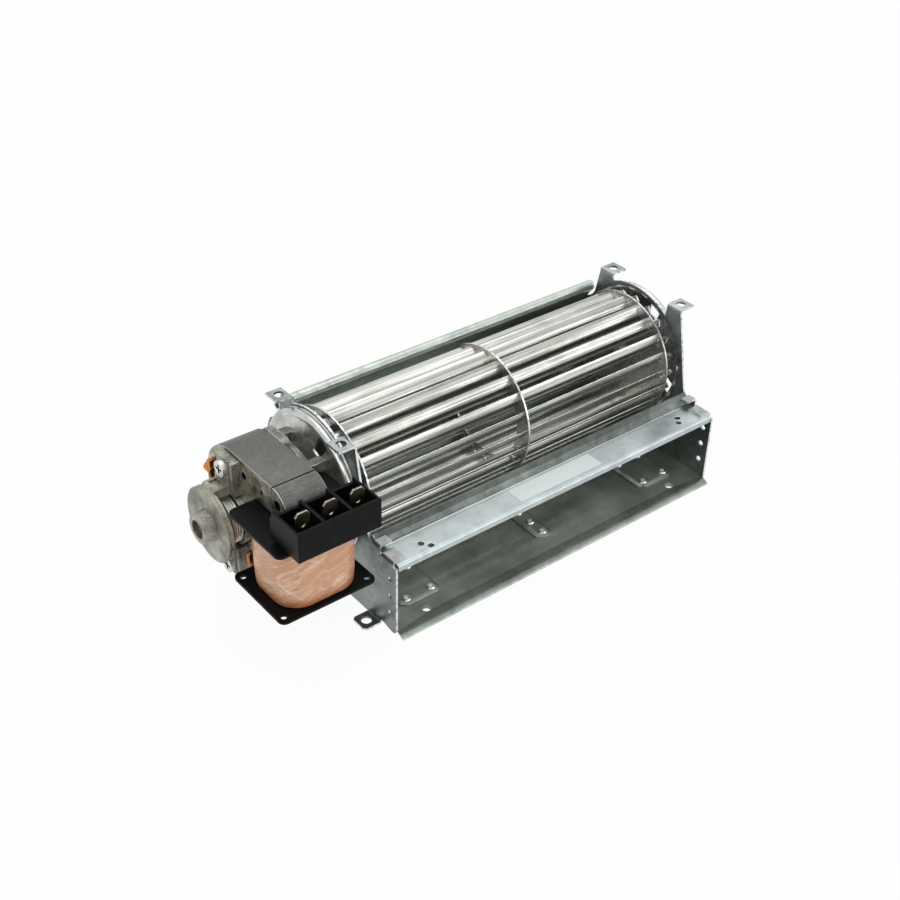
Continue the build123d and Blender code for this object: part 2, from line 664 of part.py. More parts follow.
def make_inner_bracket():
    """Die-cast bracket at the fan side: bearing housing, arms with ears, and four posts to the plate."""
    posts = []
    for y, z in ((-POST_Y, POST_Z), (POST_Y, -POST_Z), (POST_Y, POST_Z), (-POST_Y, -POST_Z)):

        # A post on the same side as a shading ring starts clear of it
        start = STACK_RIGHT + (RING_OVERHANG + 0.4 if y * z > 0 else 0)
        with BuildPart() as post:
            with BuildSketch(across(start)):
                with Locations((y, z)):
                    Rectangle(POST_SIZE, POST_SIZE)
            extrude(amount=POST_END - start)

            # The end lies on the slope of the plate's dish
            with BuildSketch(upright(0)):
                Polygon((-DISH_SHOULDER_X, DISH_SHOULDER_RADIUS), (-DISH_HUB_X, DISH_HUB_RADIUS),
                        (POST_END, DISH_HUB_RADIUS), (POST_END, DISH_SHOULDER_RADIUS), align=None)
            revolve(axis=SHAFT, mode=Mode.SUBTRACT)
        posts.append(post.part)
    pieces = [bearing_housing(INNER_DISC_X, 1, BRACKET_RING_RADIUS),
              bracket_ear(STACK_RIGHT, 1, INNER_DISC_X, 1), bracket_ear(STACK_RIGHT, 1, INNER_DISC_X, -1)]
    with BuildPart() as inner_bracket:
        add(pieces + posts)
        with BuildSketch(across(INNER_DISC_X + BRACKET_DISC + BRACKET_BOSS)):
            Circle(SHAFT_RADIUS + 0.5)
        extrude(amount=-BOSS_LIP, mode=Mode.SUBTRACT)
    write(inner_bracket, "inner_bracket")


def make_bearing_parts():
    """Sleeve bearing in each bracket, and the oil felt and spring retainer that show at the outer one."""
    for disc_x, way, name in ((OUTER_DISC_X, -1, "outer"), (INNER_DISC_X, 1, "inner")):
        bearing_end = disc_x + way * (BRACKET_DISC + BRACKET_BOSS - BOSS_LIP)
        with BuildPart() as bearing:
            with BuildSketch(across(bearing_end)):
                Circle(BEARING_RADIUS)
                Circle(BEARING_BORE, mode=Mode.SUBTRACT)
            extrude(amount=-way * BEARING_LENGTH)
        write(bearing, f"{name}_bearing")

    with BuildPart() as outer_felt:
        with BuildSketch(across(OUTER_DISC_X)):
            Circle(FELT_RADIUS)
            Circle(BEARING_RADIUS, mode=Mode.SUBTRACT)
        extrude(amount=FELT_LENGTH)
    write(outer_felt, "outer_felt")

    with BuildPart() as outer_retainer:
        with BuildSketch(across(OUTER_DISC_X + FELT_LENGTH)):
            Circle(RETAINER_RADIUS)
            Circle(RETAINER_BORE, mode=Mode.SUBTRACT)
        extrude(amount=RETAINER_SHEET)
    write(outer_retainer, "outer_retainer")


def make_rotor():
    """Rotor with a cast boss at either end, and the shaft through both bearings."""
    with BuildPart() as rotor_core:
        with BuildSketch(across(ROTOR_LEFT)):
            Circle(ROTOR_RADIUS)
        extrude(amount=ROTOR_RIGHT - ROTOR_LEFT)
        with BuildSketch(across(ROTOR_LEFT - ROTOR_BOSS)):
            Circle(ROTOR_BOSS_RADIUS)
        extrude(amount=ROTOR_RIGHT - ROTOR_LEFT + 2 * ROTOR_BOSS)
        with BuildSketch(across(ROTOR_LEFT - ROTOR_BOSS)):
            Circle(SHAFT_RADIUS)
        extrude(amount=ROTOR_RIGHT - ROTOR_LEFT + 2 * ROTOR_BOSS, mode=Mode.SUBTRACT)
    write(rotor_core, "rotor_core")

    with BuildPart() as rotor_shaft:
        with BuildSketch(across(SHAFT_LEFT)):
            Circle(SHAFT_RADIUS)
        extrude(amount=SHAFT_RIGHT - SHAFT_LEFT)
    write(rotor_shaft, "rotor_shaft")


def make_motor_fasteners():
    """Two long screws through the outer ears and the stack, tapped into the inner ears."""
    head_x = STACK_LEFT - EAR_DEPTH
    with BuildPart() as motor_screws:
        with BuildSketch(across(head_x)):
            with Locations(*SCREW_PLACES):
                Circle(SCREW_HEAD_RADIUS)
        extrude(amount=-SCREW_HEAD_DEPTH)
        with BuildSketch(across(head_x)):
            with Locations(*SCREW_PLACES):
                Circle(SCREW_RADIUS)
        extrude(amount=STACK_RIGHT + EAR_DEPTH + SCREW_OVER - head_x)
    write(motor_screws, "motor_screws")


def main():
    """Make every piece of the fan."""
    os.makedirs("parts", exist_ok=True)
    make_scroll_housing()
    make_duct_top_plate()
    make_end_plate(-1, "left_end_plate")
    make_end_plate(1, "right_end_plate")
    make_right_bearing()
    make_blades()
    make_end_disc(LEFT_DISC_FACE, -1, SHAFT_RADIUS, "left_end_disc")
    make_end_disc(RIGHT_DISC_FACE, 1, SHAFT_RADIUS, "right_end_disc")
    make_centre_ring()
    make_hubs()
    make_stator()
    make_shading_rings()
    make_bobbin()
    make_winding()
    make_terminals()
    make_outer_bracket()
    make_inner_bracket()
    make_bearing_parts()
    make_rotor()
    make_motor_fasteners()


main()
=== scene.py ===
"""Cross flow fan with a shaded-pole motor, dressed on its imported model."""

import logging
from contextlib import contextmanager
from dataclasses import dataclass, field, replace
from enum import Enum
from math import cos, pi, radians, sin
from typing import Callable, Iterator

import bmesh
import bpy
from mathutils import Matrix, Vector


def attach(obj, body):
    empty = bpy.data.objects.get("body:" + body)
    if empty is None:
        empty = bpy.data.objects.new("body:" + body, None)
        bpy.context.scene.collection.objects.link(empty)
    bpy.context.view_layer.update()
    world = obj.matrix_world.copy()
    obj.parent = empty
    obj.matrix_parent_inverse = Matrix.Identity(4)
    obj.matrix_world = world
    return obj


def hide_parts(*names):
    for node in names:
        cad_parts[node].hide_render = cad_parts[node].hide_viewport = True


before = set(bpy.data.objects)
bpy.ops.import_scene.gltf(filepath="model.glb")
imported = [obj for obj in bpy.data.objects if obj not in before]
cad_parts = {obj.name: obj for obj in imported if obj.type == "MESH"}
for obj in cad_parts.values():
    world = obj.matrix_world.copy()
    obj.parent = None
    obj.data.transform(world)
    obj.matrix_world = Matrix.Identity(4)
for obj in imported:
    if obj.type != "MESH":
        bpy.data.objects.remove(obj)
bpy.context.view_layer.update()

LOG = logging.getLogger("fan")
MILLIMETRE = 0.001
SHAFT_AXIS = Vector((0.0, 41.0, 47.0))

UP = Vector((0.0, 0.0, 1.0))
BACK = Vector((0.0, 1.0, 0.0))
ALONG = Vector((1.0, 0.0, 0.0))
# How near a face lies to its plane, and how its normal leans, to be picked
SAME_PLACE = 0.00005
FACING = 0.9
ACROSS = 0.1
# Merging distances of packed and of cut meshes, and the angles of flat, rounded, smooth and cut corners
WELD = 0.000002
CUT_WELD = 0.000003
FLAT, ROUNDED, SMOOTH, CORNER = (radians(turn) for turn in (0.4, 30.0, 32.0, 50.0))
# Weight of large faces in smooth shading, and how many sheets wide a cut edge may be
EVENNESS = 60
CUT_WIDTH = 1.1
HOLE_SIDES = 28

Shape = bpy.types.Object
Material = bpy.types.Material
Test = Callable[[Vector, Vector], bool]
Pair = tuple[float, float]
Triple = tuple[float, float, float]


class Body(Enum):
    """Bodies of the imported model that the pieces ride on."""

    HOUSING = "housing"
    IMPELLER = "impeller"


class Way(Enum):
    """Boolean operations that a cutter can do."""

    CUT = "DIFFERENCE"
    FUSE = "UNION"


def at(x: float, y: float, z: float) -> Vector:
    """Turn millimetres from the shaft axis, along it, back and up, into the frame's metres."""
    return (Vector((x, y, z)) + SHAFT_AXIS) * MILLIMETRE


class Signal:
    """One output of a shader node, with arithmetic that adds Math nodes."""

    def __init__(self, bench: "Bench", socket: bpy.types.NodeSocket) -> None:
        """Keep the socket and the bench that made it."""
        self.bench = bench
        self.socket = socket

    def math(self, operation: str, first: "Signal | float", second: "Signal | float") -> "Signal":
        """Result of a Math node on two values."""
        return self.bench.add("Math", {"operation": operation}, {0: first, 1: second})

    def __add__(self, other: "Signal | float") -> "Signal":
        """Sum of two values."""
        return self.math("ADD", self, other)

    __radd__ = __add__

    def __sub__(self, other: "Signal | float") -> "Signal":
        """Difference of two values."""
        return self.math("SUBTRACT", self, other)

    def __rsub__(self, other: "Signal | float") -> "Signal":
        """Difference with the socket's value taken away."""
        return self.math("SUBTRACT", other, self)

    def __mul__(self, other: "Signal | float") -> "Signal":
        """Product of two values."""
        return self.math("MULTIPLY", self, other)

    __rmul__ = __mul__

    def above(self, limit: float) -> "Signal":
        """One where the value is over a limit, else nought."""
        return self.math("GREATER_THAN", self, limit)

    def between(self, low: float, high: float) -> "Signal":
        """Rise smoothly from nought at the low value to one at the high value."""
        return self.bench.add("MapRange", {"interpolation_type": "SMOOTHSTEP"},
                              {"Value": self, "From Min": low, "From Max": high})


class Bench:
    """Node tree of a material or world while it is being laid out."""

    def __init__(self, owner: Material | bpy.types.World) -> None:
        """Start with an empty tree.

        Args:
            owner: The material or world.
        """
        self.owner = owner
        self.owner.use_nodes = True
        self.tree = self.owner.node_tree
        self.tree.nodes.clear()

    def add(self, kind: str, settings: dict | None = None, sockets: dict | None = None,
            result: int | str | None = 0) -> Signal | None:
        """Add any node.

        Args:
            kind: The node's type, without ShaderNode in front.
            settings: Its own settings.
            sockets: Values or links for its inputs, by name or place.
            result: The output to give back, by name or place, or None where there is none.

        Returns:
            The output as a value.
        """
        node = self.tree.nodes.new(f"ShaderNode{kind}")
        for key, value in (settings or {}).items():
            setattr(node, key, value)
        for key, value in (sockets or {}).items():
            if isinstance(value, Signal):
                self.tree.links.new(value.socket, node.inputs[key])
            else:
                node.inputs[key].default_value = value
        return None if result is None else Signal(self, node.outputs[result])

    def place(self, stretch: Triple = (1.0, 1.0, 1.0), slant: float = 0.0) -> Signal:
        """Object coordinates, turned about X and Y and scaled along each axis.

        Args:
            stretch: Factors for X, Y and Z.
            slant: The turn in degrees.

        Returns:
            The coordinates.
        """
        plain = self.add("TexCoord", result="Object")
        turned = self.add("Mapping", {"vector_type": "POINT"},
                          {"Vector": plain, "Rotation": (radians(slant), radians(slant), 0.0)})
        return self.add("Mapping", {"vector_type": "POINT"}, {"Vector": turned, "Scale": stretch})

    def noise(self, scale: float, detail: float = 2.0, stretch: Triple = (1.0, 1.0, 1.0),
              rough: float = 0.5, swirl: float = 0.0, slant: float = 0.0) -> Signal:
        """Noise on turned and stretched object coordinates, about a half on average."""
        sockets = {"Vector": self.place(stretch, slant), "Scale": scale, "Detail": detail,
                   "Roughness": rough, "Distortion": swirl}
        return self.add("TexNoise", None, sockets)

    def cells(self, scale: float) -> Signal:
        """A random value, from nought to one, for each of the cells to a metre."""
        return self.add("TexVoronoi", {"feature": "F1"}, {"Vector": self.place(), "Scale": scale},
                        "Color")

    def blend(self, mask: Signal, first: Signal | Triple, second: Signal | Triple) -> Signal:
        """Mix two colours, the first where the mask is nought and the second where it is one."""
        ends = [value if isinstance(value, Signal) else (*value, 1.0) for value in (first, second)]
        return self.add("Mix", {"data_type": "RGBA"}, {0: mask, 6: ends[0], 7: ends[1]}, 2)

    def waves(self, scale: float, axis: str, wobble: float) -> Signal:
        """Bands across the X, Y or Z axis, from nought to one, and the more uneven the more they wobble."""
        return self.add("TexWave", {"wave_type": "BANDS", "bands_direction": axis},
                        {"Vector": self.place(), "Scale": scale, "Distortion": wobble, "Detail Scale": 30.0},
                        "Fac")

    def end(self, kind: str, shader: Signal) -> Material | bpy.types.World:
        """Link the last shader to the output, and give back the material or world."""
        self.add(kind, None, {"Surface": shader}, None)
        return self.owner

    def close(self, colour: Signal, roughness: Signal | float, metallic: float, height: Signal | None = None,
              depth: float = 0.00002, coat: float = 0.0, shine: float = 0.5) -> None:
        """Finish the material with one surface shader.

        Args:
            colour: Base colour.
            roughness: Roughness over the surface.
            metallic: How metallic the surface is.
            height: Relief, from nought to one.
            depth: Height of the relief in metres.
            coat: Weight of a clear coat.
            shine: Strength of a plastic's reflection.
        """
        sockets = {"Base Color": colour, "Roughness": roughness, "Metallic": metallic, "Coat Weight": coat,
                   "Specular IOR Level": shine}
        if height is not None:
            relief = {"Height": height, "Distance": depth}
            sockets["Normal"] = self.add("Bump", None, relief, "Normal")
        self.end("OutputMaterial", self.add("BsdfPrincipled", None, sockets))


@dataclass(frozen=True)
class Finish:
    """A finish that can be put on a piece."""

    label: str

    def material(self) -> Material:
        """Find the finish's material, or make it.

        Returns:
            The material.
        """
        made = bpy.data.materials.get(self.label)
        if made is None:
            made = bpy.data.materials.new(self.label)
            self.lay(Bench(made))
        return made

    def lay(self, bench: Bench) -> None:
        """Lay out the finish's nodes in an empty material."""
        raise NotImplementedError(self.label)


@dataclass(frozen=True)
class GalvanisedSheet(Finish):
    """Zinc coated sheet with spangle, clouds, grime and rolling lines along the shaft."""

    dark: Triple
    pale: Triple
    grime: Triple = (0.055, 0.06, 0.05)
    roughness: float = 0.34

    def lay(self, bench: Bench) -> None:
        """Lay out cloudy zinc under fine lines.

        Args:
            bench: The empty material.
        """
        cloud = bench.noise(42.0, 5.0, rough=0.6).between(0.32, 0.68)
        spangle = bench.cells(380.0)
        lines = bench.noise(1000.0, 3.0, (0.03, 1.0, 1.0)).between(0.3, 0.7)
        stains = bench.noise(95.0, 6.0, rough=0.72).between(0.54, 0.74)
        colour = bench.blend(cloud * 0.55 + spangle * 0.3 + lines * 0.15, self.dark, self.pale)
        colour = bench.blend(stains * 0.42, colour, self.grime)
        roughness = self.roughness + cloud * 0.1 + stains * 0.15 - spangle * 0.08
        bench.close(colour, roughness, 0.9, lines * 0.2 + bench.noise(1400.0) * 0.5, 0.00003)


@dataclass(frozen=True)
class BareEdgeAndHighlight(Finish):
    """Bright bare metal along cut and rubbed edges, laid on the bevels as a painted highlight as well."""

    colour: Triple = (0.74, 0.76, 0.76)
    nick: Triple = (0.30, 0.32, 0.32)

    def lay(self, bench: Bench) -> None:
        """Lay out bright metal with darker nicks.

        Args:
            bench: The empty material.
        """
        nicks = bench.noise(600.0, 4.0).between(0.46, 0.68)
        bench.close(bench.blend(nicks, self.colour, self.nick), nicks * 0.2 + 0.28, 1.0)


@dataclass(frozen=True)
class RolledAluminium(Finish):
    """Aluminium strip with rolling lines along its length and smears of oil."""

    pale: Triple = (0.72, 0.72, 0.68)
    dark: Triple = (0.13, 0.13, 0.11)
    roughness: float = 0.15

    def lay(self, bench: Bench) -> None:
        """Lay out streaks along the strip.

        Args:
            bench: The empty material.
        """
        streaks = bench.noise(1250.0, 4.0, (0.012, 1.0, 1.0)).between(0.36, 0.62)
        smears = bench.noise(60.0, 5.0, (0.35, 1.0, 1.0), 0.65).between(0.42, 0.66)
        colour = bench.blend(streaks * 0.5 + smears * 0.3, self.pale, self.dark)
        bench.close(colour, self.roughness + streaks * 0.12 + smears * 0.1, 1.0, streaks, 0.00002)


@dataclass(frozen=True)
class LaminatedSteel(Finish):
    """Stack of thin stampings, seen as fine even lines across the shaft, broken by burrs."""

    dark: Triple = (0.045, 0.045, 0.042)
    pale: Triple = (0.26, 0.26, 0.245)
    fineness: float = 430.0

    def lay(self, bench: Bench) -> None:
        """Lay out one band for each stamping, with a woven look from the burrs.

        Args:
            bench: The empty material.
        """
        sheets = bench.waves(self.fineness, "X", 0.6)
        weave = bench.waves(self.fineness, "Y", 1.5) * bench.waves(self.fineness, "Z", 1.5)
        burrs = bench.noise(1100.0, 3.0, (0.6, 1.0, 1.0)).between(0.35, 0.65)
        oil = bench.noise(60.0, 4.0).between(0.38, 0.7)
        mask = sheets * 0.5 + weave * 0.16 + burrs * 0.2 + oil * 0.14
        colour = bench.blend(mask, self.dark, self.pale)
        bench.close(colour, 0.5 - oil * 0.1 + burrs * 0.1, 0.7, sheets + burrs * 0.4, 0.00008)


@dataclass(frozen=True)
class StackFace(Finish):
    """Flat face of the outer stamping: oiled olive brown metal with pale worn places."""

    dark: Triple = (0.07, 0.062, 0.036)
    pale: Triple = (0.64, 0.62, 0.50)

    def lay(self, bench: Bench) -> None:
        """Lay out oily clouds and scuffs.

        Args:
            bench: The empty material.
        """
        cloud = bench.noise(75.0, 6.0, rough=0.65).between(0.36, 0.66)
        scuffs = bench.noise(520.0, 5.0, (1.0, 0.5, 1.0), 0.7).between(0.42, 0.66)
        colour = bench.blend(cloud * 0.6 + scuffs * 0.35, self.dark, self.pale)
        bench.close(colour, 0.3 + cloud * 0.15, 0.85, scuffs, 0.00002)


@dataclass(frozen=True)
class CastZinc(Finish):
    """Matte die casting with a speckled, slightly uneven skin."""

    dark: Triple
    pale: Triple

    def lay(self, bench: Bench) -> None:
        """Lay out cast skin with flow marks.

        Args:
            bench: The empty material.
        """
        skin = bench.noise(1500.0, 4.0, rough=0.65).between(0.32, 0.68)
        flow = bench.noise(110.0, 5.0, rough=0.6).between(0.3, 0.7)
        colour = bench.blend(flow * 0.55 + skin * 0.4, self.dark, self.pale)
        bench.close(colour, 0.4 + skin * 0.14 - flow * 0.05, 0.8, skin + flow * 0.5, 0.00006)


@dataclass(frozen=True)
class TurnedMetal(Finish):
    """Turned or drawn metal with rings round the shaft."""

    dark: Triple = (0.16, 0.16, 0.15)
    pale: Triple = (0.42, 0.42, 0.40)
    roughness: float = 0.28

    def lay(self, bench: Bench) -> None:
        """Lay out tool marks along the shaft and small stains.

        Args:
            bench: The empty material.
        """
        marks = bench.noise(1800.0, 2.0, (1.0, 0.03, 0.03))
        stains = bench.noise(260.0, 4.0).between(0.42, 0.7)
        colour = bench.blend(1 - (marks * 0.4 + stains * 0.6), self.dark, self.pale)
        bench.close(colour, self.roughness + stains * 0.15, 1.0, marks, 0.00001)


@dataclass(frozen=True)
class MouldedPlastic(Finish):
    """Satin moulding with a faint grain and dust."""

    colour: Triple = (0.004, 0.004, 0.004)
    dust: Triple = (0.014, 0.014, 0.013)
    roughness: float = 0.3
    shine: float = 0.07

    def lay(self, bench: Bench) -> None:
        """Lay out fine grain and patches of dust.

        Args:
            bench: The empty material.
        """
        grain = bench.noise(2600.0, 2.0)
        patches = bench.noise(160.0, 5.0).between(0.5, 0.8)
        colour = bench.blend(patches * 0.5 + grain * 0.15, self.colour, self.dust)
        roughness = self.roughness + grain * 0.08 + patches * 0.12
        bench.close(colour, roughness, 0.0, grain, 0.00001, shine=self.shine)


@dataclass(frozen=True)
class TapedWinding(Finish):
    """Copper wire turns seen through clear tape, with pale creases that are partly painted glints, and a
    darker lower edge.
    """

    copper: Triple = (0.36, 0.11, 0.03)
    peach: Triple = (0.64, 0.33, 0.17)
    # Pale colour of tape creases, partly a painted glint
    crease: Triple = (0.92, 0.80, 0.68)
    low_edge: float = 0.0332
    low_top: float = 0.0405
    wander: float = 0.004

    def lay(self, bench: Bench) -> None:
        """Lay out the turns, the tape's tint, its creases and small painted glints.

        Args:
            bench: The empty material.
        """
        turns = bench.noise(1900.0, 1.0, (0.01, 0.01, 1.0)).between(0.35, 0.65)
        slant = bench.noise(230.0, 7.0, (0.35, 0.35, 1.5), 0.74, 0.7, 24.0)
        creases = slant.between(0.46, 0.66)
        folds = bench.noise(330.0, 6.0, (0.3, 0.3, 1.7), 0.68, 1.1, -28.0).between(0.53, 0.66)
        height = bench.add("SeparateXYZ", None, {0: bench.place()}, "Z")
        wander = bench.noise(70.0, 3.0) * self.wander
        low = 1 - (height + wander).between(self.low_edge, self.low_top)
        colour = bench.blend(turns * 0.14 + low * 0.75 + (1 - creases) * 0.18, self.peach, self.copper)
        # Creases and folds take the pale colour, partly painted glints
        colour = bench.blend((creases * 0.42 + folds * 0.4) * (1 - low * 0.75), colour, self.crease)
        bench.close(colour, 0.4 - creases * 0.12, 0.0, turns * 0.25 + slant + folds * 0.5, 0.0003, 0.4)


@dataclass(frozen=True)
class SoftPad(Finish):
    """Felt or rubber with a fine nap."""

    dark: Triple = (0.07, 0.04, 0.02)
    pale: Triple = (0.26, 0.15, 0.08)

    def lay(self, bench: Bench) -> None:
        """Lay out the nap.

        Args:
            bench: The empty material.
        """
        nap = bench.noise(2200.0, 4.0, rough=0.7)
        bench.close(bench.blend(nap, self.dark, self.pale), 0.75 + nap * 0.2, 0.0, nap, 0.00008)


@dataclass(frozen=True)
class SilverLabel(Finish):
    """Bare silver label with a fine brushed sheen."""

    pale: Triple
    dark: Triple

    def lay(self, bench: Bench) -> None:
        """Lay out a brushed foil.

        Args:
            bench: The empty material.
        """
        brushed = bench.noise(1500.0, 3.0, (0.03, 1.0, 1.0))
        colour = bench.blend(brushed, self.dark, self.pale)
        bench.close(colour, 0.42 + brushed * 0.1, 0.5, brushed, 0.00001)


# Darker copy of the galvanised sheet on the end plates and floor collars, painted shade
SHADED_SHEET = GalvanisedSheet("end_plate_sheet_painted_shade", (0.11, 0.125, 0.12), (0.30, 0.33, 0.315))
# Lighter copy on the plates' upward faces, painted light
LIT_LUG = GalvanisedSheet("lug_sheet_painted_light", (0.24, 0.27, 0.265), (0.50, 0.54, 0.53), (0.13, 0.14, 0.135))
# Much lighter copy on the drawn dishes, their beads and the pad collars, painted light
PAINTED_LIGHT_SHEET = GalvanisedSheet("dish_and_collar_painted_light", (0.34, 0.36, 0.35), (0.80, 0.82, 0.80), (0.13, 0.14, 0.13), 0.24)
SCROLL = GalvanisedSheet("scroll_sheet", (0.34, 0.38, 0.345), (0.61, 0.665, 0.61), (0.18, 0.20, 0.165))
DUCT = GalvanisedSheet("duct_sheet", (0.38, 0.435, 0.44), (0.58, 0.645, 0.65), (0.24, 0.27, 0.27))
# Dark copy on the duct top's rear band and the pads' steep walls, painted shade
SHADED_CHANNEL = GalvanisedSheet("channel_painted_shade", (0.05, 0.058, 0.053), (0.19, 0.21, 0.195))
# Darker copy on the floor's front strip, painted shade
SHADED_FRONT = GalvanisedSheet("front_strip_painted_shade", (0.18, 0.20, 0.18), (0.38, 0.42, 0.38), (0.10, 0.11, 0.09))
# Bare cut edges and rounded edges of the sheets, partly a painted highlight
EDGE = BareEdgeAndHighlight("bare_edge_and_painted_highlight")
# Near black for holes, recesses and the stack seam: painted shade in holes and recesses, a dark joint at the
# seam
JOINT_AND_HOLE_SHADE = MouldedPlastic("joint_and_hole_painted_shade", (0.003, 0.003, 0.003), (0.01, 0.01, 0.01), 0.6, 0.1)
STRIP = RolledAluminium("blade_strip")
DISC = RolledAluminium("disc_sheet", (0.56, 0.56, 0.52), (0.15, 0.15, 0.13), 0.3)
STACK = LaminatedSteel("stack_laminations")
STACK_SIDE = StackFace("stack_side")
CASTING = CastZinc("bracket_casting", (0.07, 0.07, 0.057), (0.58, 0.57, 0.49))
INNER_CASTING = CastZinc("inner_casting_skin", (0.06, 0.06, 0.052), (0.42, 0.41, 0.36))
# Bright bevels of the castings: rubbed edges, partly a painted highlight
CAST_EDGE_AND_HIGHLIGHT = BareEdgeAndHighlight("casting_edge_and_painted_highlight", (0.46, 0.46, 0.42), (0.20, 0.20, 0.18))
TURNED = TurnedMetal("turned_steel")
SHAFT = TurnedMetal("shaft_steel", (0.02, 0.018, 0.016), (0.09, 0.08, 0.07), 0.4)
SCREW = TurnedMetal("zinc_screws", (0.05, 0.055, 0.05), (0.17, 0.18, 0.17), 0.42)
BRONZE = TurnedMetal("sintered_bronze", (0.09, 0.06, 0.035), (0.26, 0.19, 0.11), 0.45)
SPRING = TurnedMetal("spring_steel", (0.32, 0.32, 0.28), (0.78, 0.78, 0.70), 0.2)
COPPER = TurnedMetal("shading_copper", (0.20, 0.06, 0.015), (0.62, 0.25, 0.08), 0.32)
SPADE = TurnedMetal("terminal_plate", (0.075, 0.07, 0.05), (0.24, 0.22, 0.155), 0.3)
# Bright bevels and latch hole walls of the terminals, partly a painted highlight
SPADE_EDGE_AND_HIGHLIGHT = BareEdgeAndHighlight("terminal_edge_and_painted_highlight", (0.62, 0.59, 0.47), (0.26, 0.24, 0.17))
BLACK = MouldedPlastic("bobbin_moulding")
TAPE = TapedWinding("taped_winding")
FELT = SoftPad("oiled_felt")
RUBBER = SoftPad("grommet_rubber", (0.008, 0.008, 0.008), (0.03, 0.03, 0.028))
LABEL = SilverLabel("bare_label", (0.68, 0.73, 0.73), (0.60, 0.65, 0.65))


def hold(shape: Shape) -> None:
    """Select one object alone and make it active.

    Args:
        shape: The object.
    """
    bpy.ops.object.select_all(action="DESELECT")
    shape.select_set(True)
    bpy.context.view_layer.objects.active = shape


@contextmanager
def editing(shape: Shape, mode: str = "FACE") -> Iterator[None]:
    """Edit one object's mesh, with nothing selected at first.

    Args:
        shape: The object.
        mode: VERT, EDGE or FACE.
    """
    hold(shape)
    bpy.ops.object.mode_set(mode="EDIT")
    bpy.ops.mesh.select_mode(type=mode)
    bpy.ops.mesh.select_all(action="DESELECT")
    yield
    bpy.ops.object.mode_set(mode="OBJECT")


def pick(shape: Shape, test: Test) -> None:
    """Select faces, or edges where those are being edited.

    Args:
        shape: The object in edit mode, its place applied.
        test: Says by a face's middle and normal, or an edge's middle and direction, if it is wanted.
    """
    mesh = bmesh.from_edit_mesh(shape.data)
    if "EDGE" in mesh.select_mode:
        for edge in mesh.edges:
            first, second = (corner.co for corner in edge.verts)
            edge.select_set(test((first + second) / 2, (second - first).normalized()))
    else:
        for face in mesh.faces:
            face.select_set(test(face.calc_center_median(), face.normal))
    bmesh.update_edit_mesh(shape.data)


def settle(shape: Shape) -> Shape:
    """Put an object's place into its mesh.

    Args:
        shape: The object.

    Returns:
        The object, at the origin.
    """
    hold(shape)
    bpy.ops.object.transform_apply(location=True, rotation=True, scale=True)
    return shape


def dress(shape: Shape, *finishes: Finish) -> Shape:
    """Add a material slot for each finish.

    Args:
        shape: The object.
        finishes: The finishes in the order of their slots.

    Returns:
        The object.
    """
    for finish in finishes:
        shape.data.materials.append(finish.material())
    return shape


def paint(shape: Shape, slot: int, test: Callable[[bpy.types.MeshPolygon], bool]) -> None:
    """Put the faces that pass a test on a material slot.

    Args:
        shape: The object.
        slot: The slot.
        test: Says whether a face is wanted.
    """
    for face in shape.data.polygons:
        if test(face):
            face.material_index = slot


def box(low: Vector, high: Vector) -> Shape:
    """Add a box between its lowest and its highest corner, its place in its mesh."""
    bpy.ops.mesh.primitive_cube_add(size=1.0, location=(low + high) / 2, scale=high - low)
    return settle(bpy.context.object)


def rod(middle: Vector, axis: Vector, radius: float, length: float, sides: int) -> Shape:
    """Add a round rod along an axis, its radius and length in millimetres."""
    bpy.ops.mesh.primitive_cylinder_add(
        vertices=sides, radius=radius * MILLIMETRE, depth=length * MILLIMETRE, location=middle,
        rotation=axis.to_track_quat("Z", "Y").to_euler())
    return settle(bpy.context.object)


def hoop(middle: Vector, radius: float, wire: float) -> Shape:
    """Add a hoop of round wire that runs round the shaft, both radii in millimetres."""
    bpy.ops.mesh.primitive_torus_add(
        major_segments=96, minor_segments=14, major_radius=radius * MILLIMETRE,
        minor_radius=wire * MILLIMETRE, location=middle, rotation=(0, radians(90), 0))
    return settle(bpy.context.object)


def bore(shape: Shape, spot: Vector, axis: Vector, radius: float, length: float) -> None:
    """Bore a round hole whose wall takes the object's last material.

    Args:
        shape: The object.
        spot: Middle of the hole.
        axis: Its direction.
        radius: Its radius in millimetres.
        length: Its whole length in millimetres.
    """
    drill = rod(spot, axis, radius, length, HOLE_SIDES)
    drill.data.materials.append(shape.data.materials[-1])
    work(shape, drill, Way.CUT)


def notch(shape: Shape, low: Triple, high: Triple, side: int, *wall: Finish) -> None:
    """Cut a box out of an object, above the shaft or mirrored below it.

    Args:
        shape: The object.
        low: Lowest corner above the shaft, in millimetres from its axis.
        high: Highest corner.
        side: One above the shaft, minus one below.
        wall: Finish of the walls, where it isn't the object's first one.
    """
    levels = sorted((side * low[2], side * high[2]))
    tool = box(at(low[0], low[1], levels[0]), at(high[0], high[1], levels[1]))
    work(shape, dress(tool, *wall), Way.CUT)


def sink(shape: Shape, test: Test, wall: float, move: Vector) -> None:
    """Sink faces inside a wall that stays.

    Args:
        shape: The object.
        test: Says by a face's middle and normal whether it is wanted.
        wall: Thickness of the wall in millimetres.
        move: Way of the floor in millimetres.
    """
    with editing(shape):
        pick(shape, test)
        bpy.ops.mesh.inset(thickness=wall * MILLIMETRE)
        bpy.ops.mesh.extrude_region_move(TRANSFORM_OT_translate={"value": tuple(move * MILLIMETRE)})


def split(shape: Shape, spot: Vector, axis: Vector) -> None:
    """Cut every face along a plane, and keep both sides."""
    with editing(shape):
        bpy.ops.mesh.select_all(action="SELECT")
        bpy.ops.mesh.bisect(plane_co=spot, plane_no=axis)


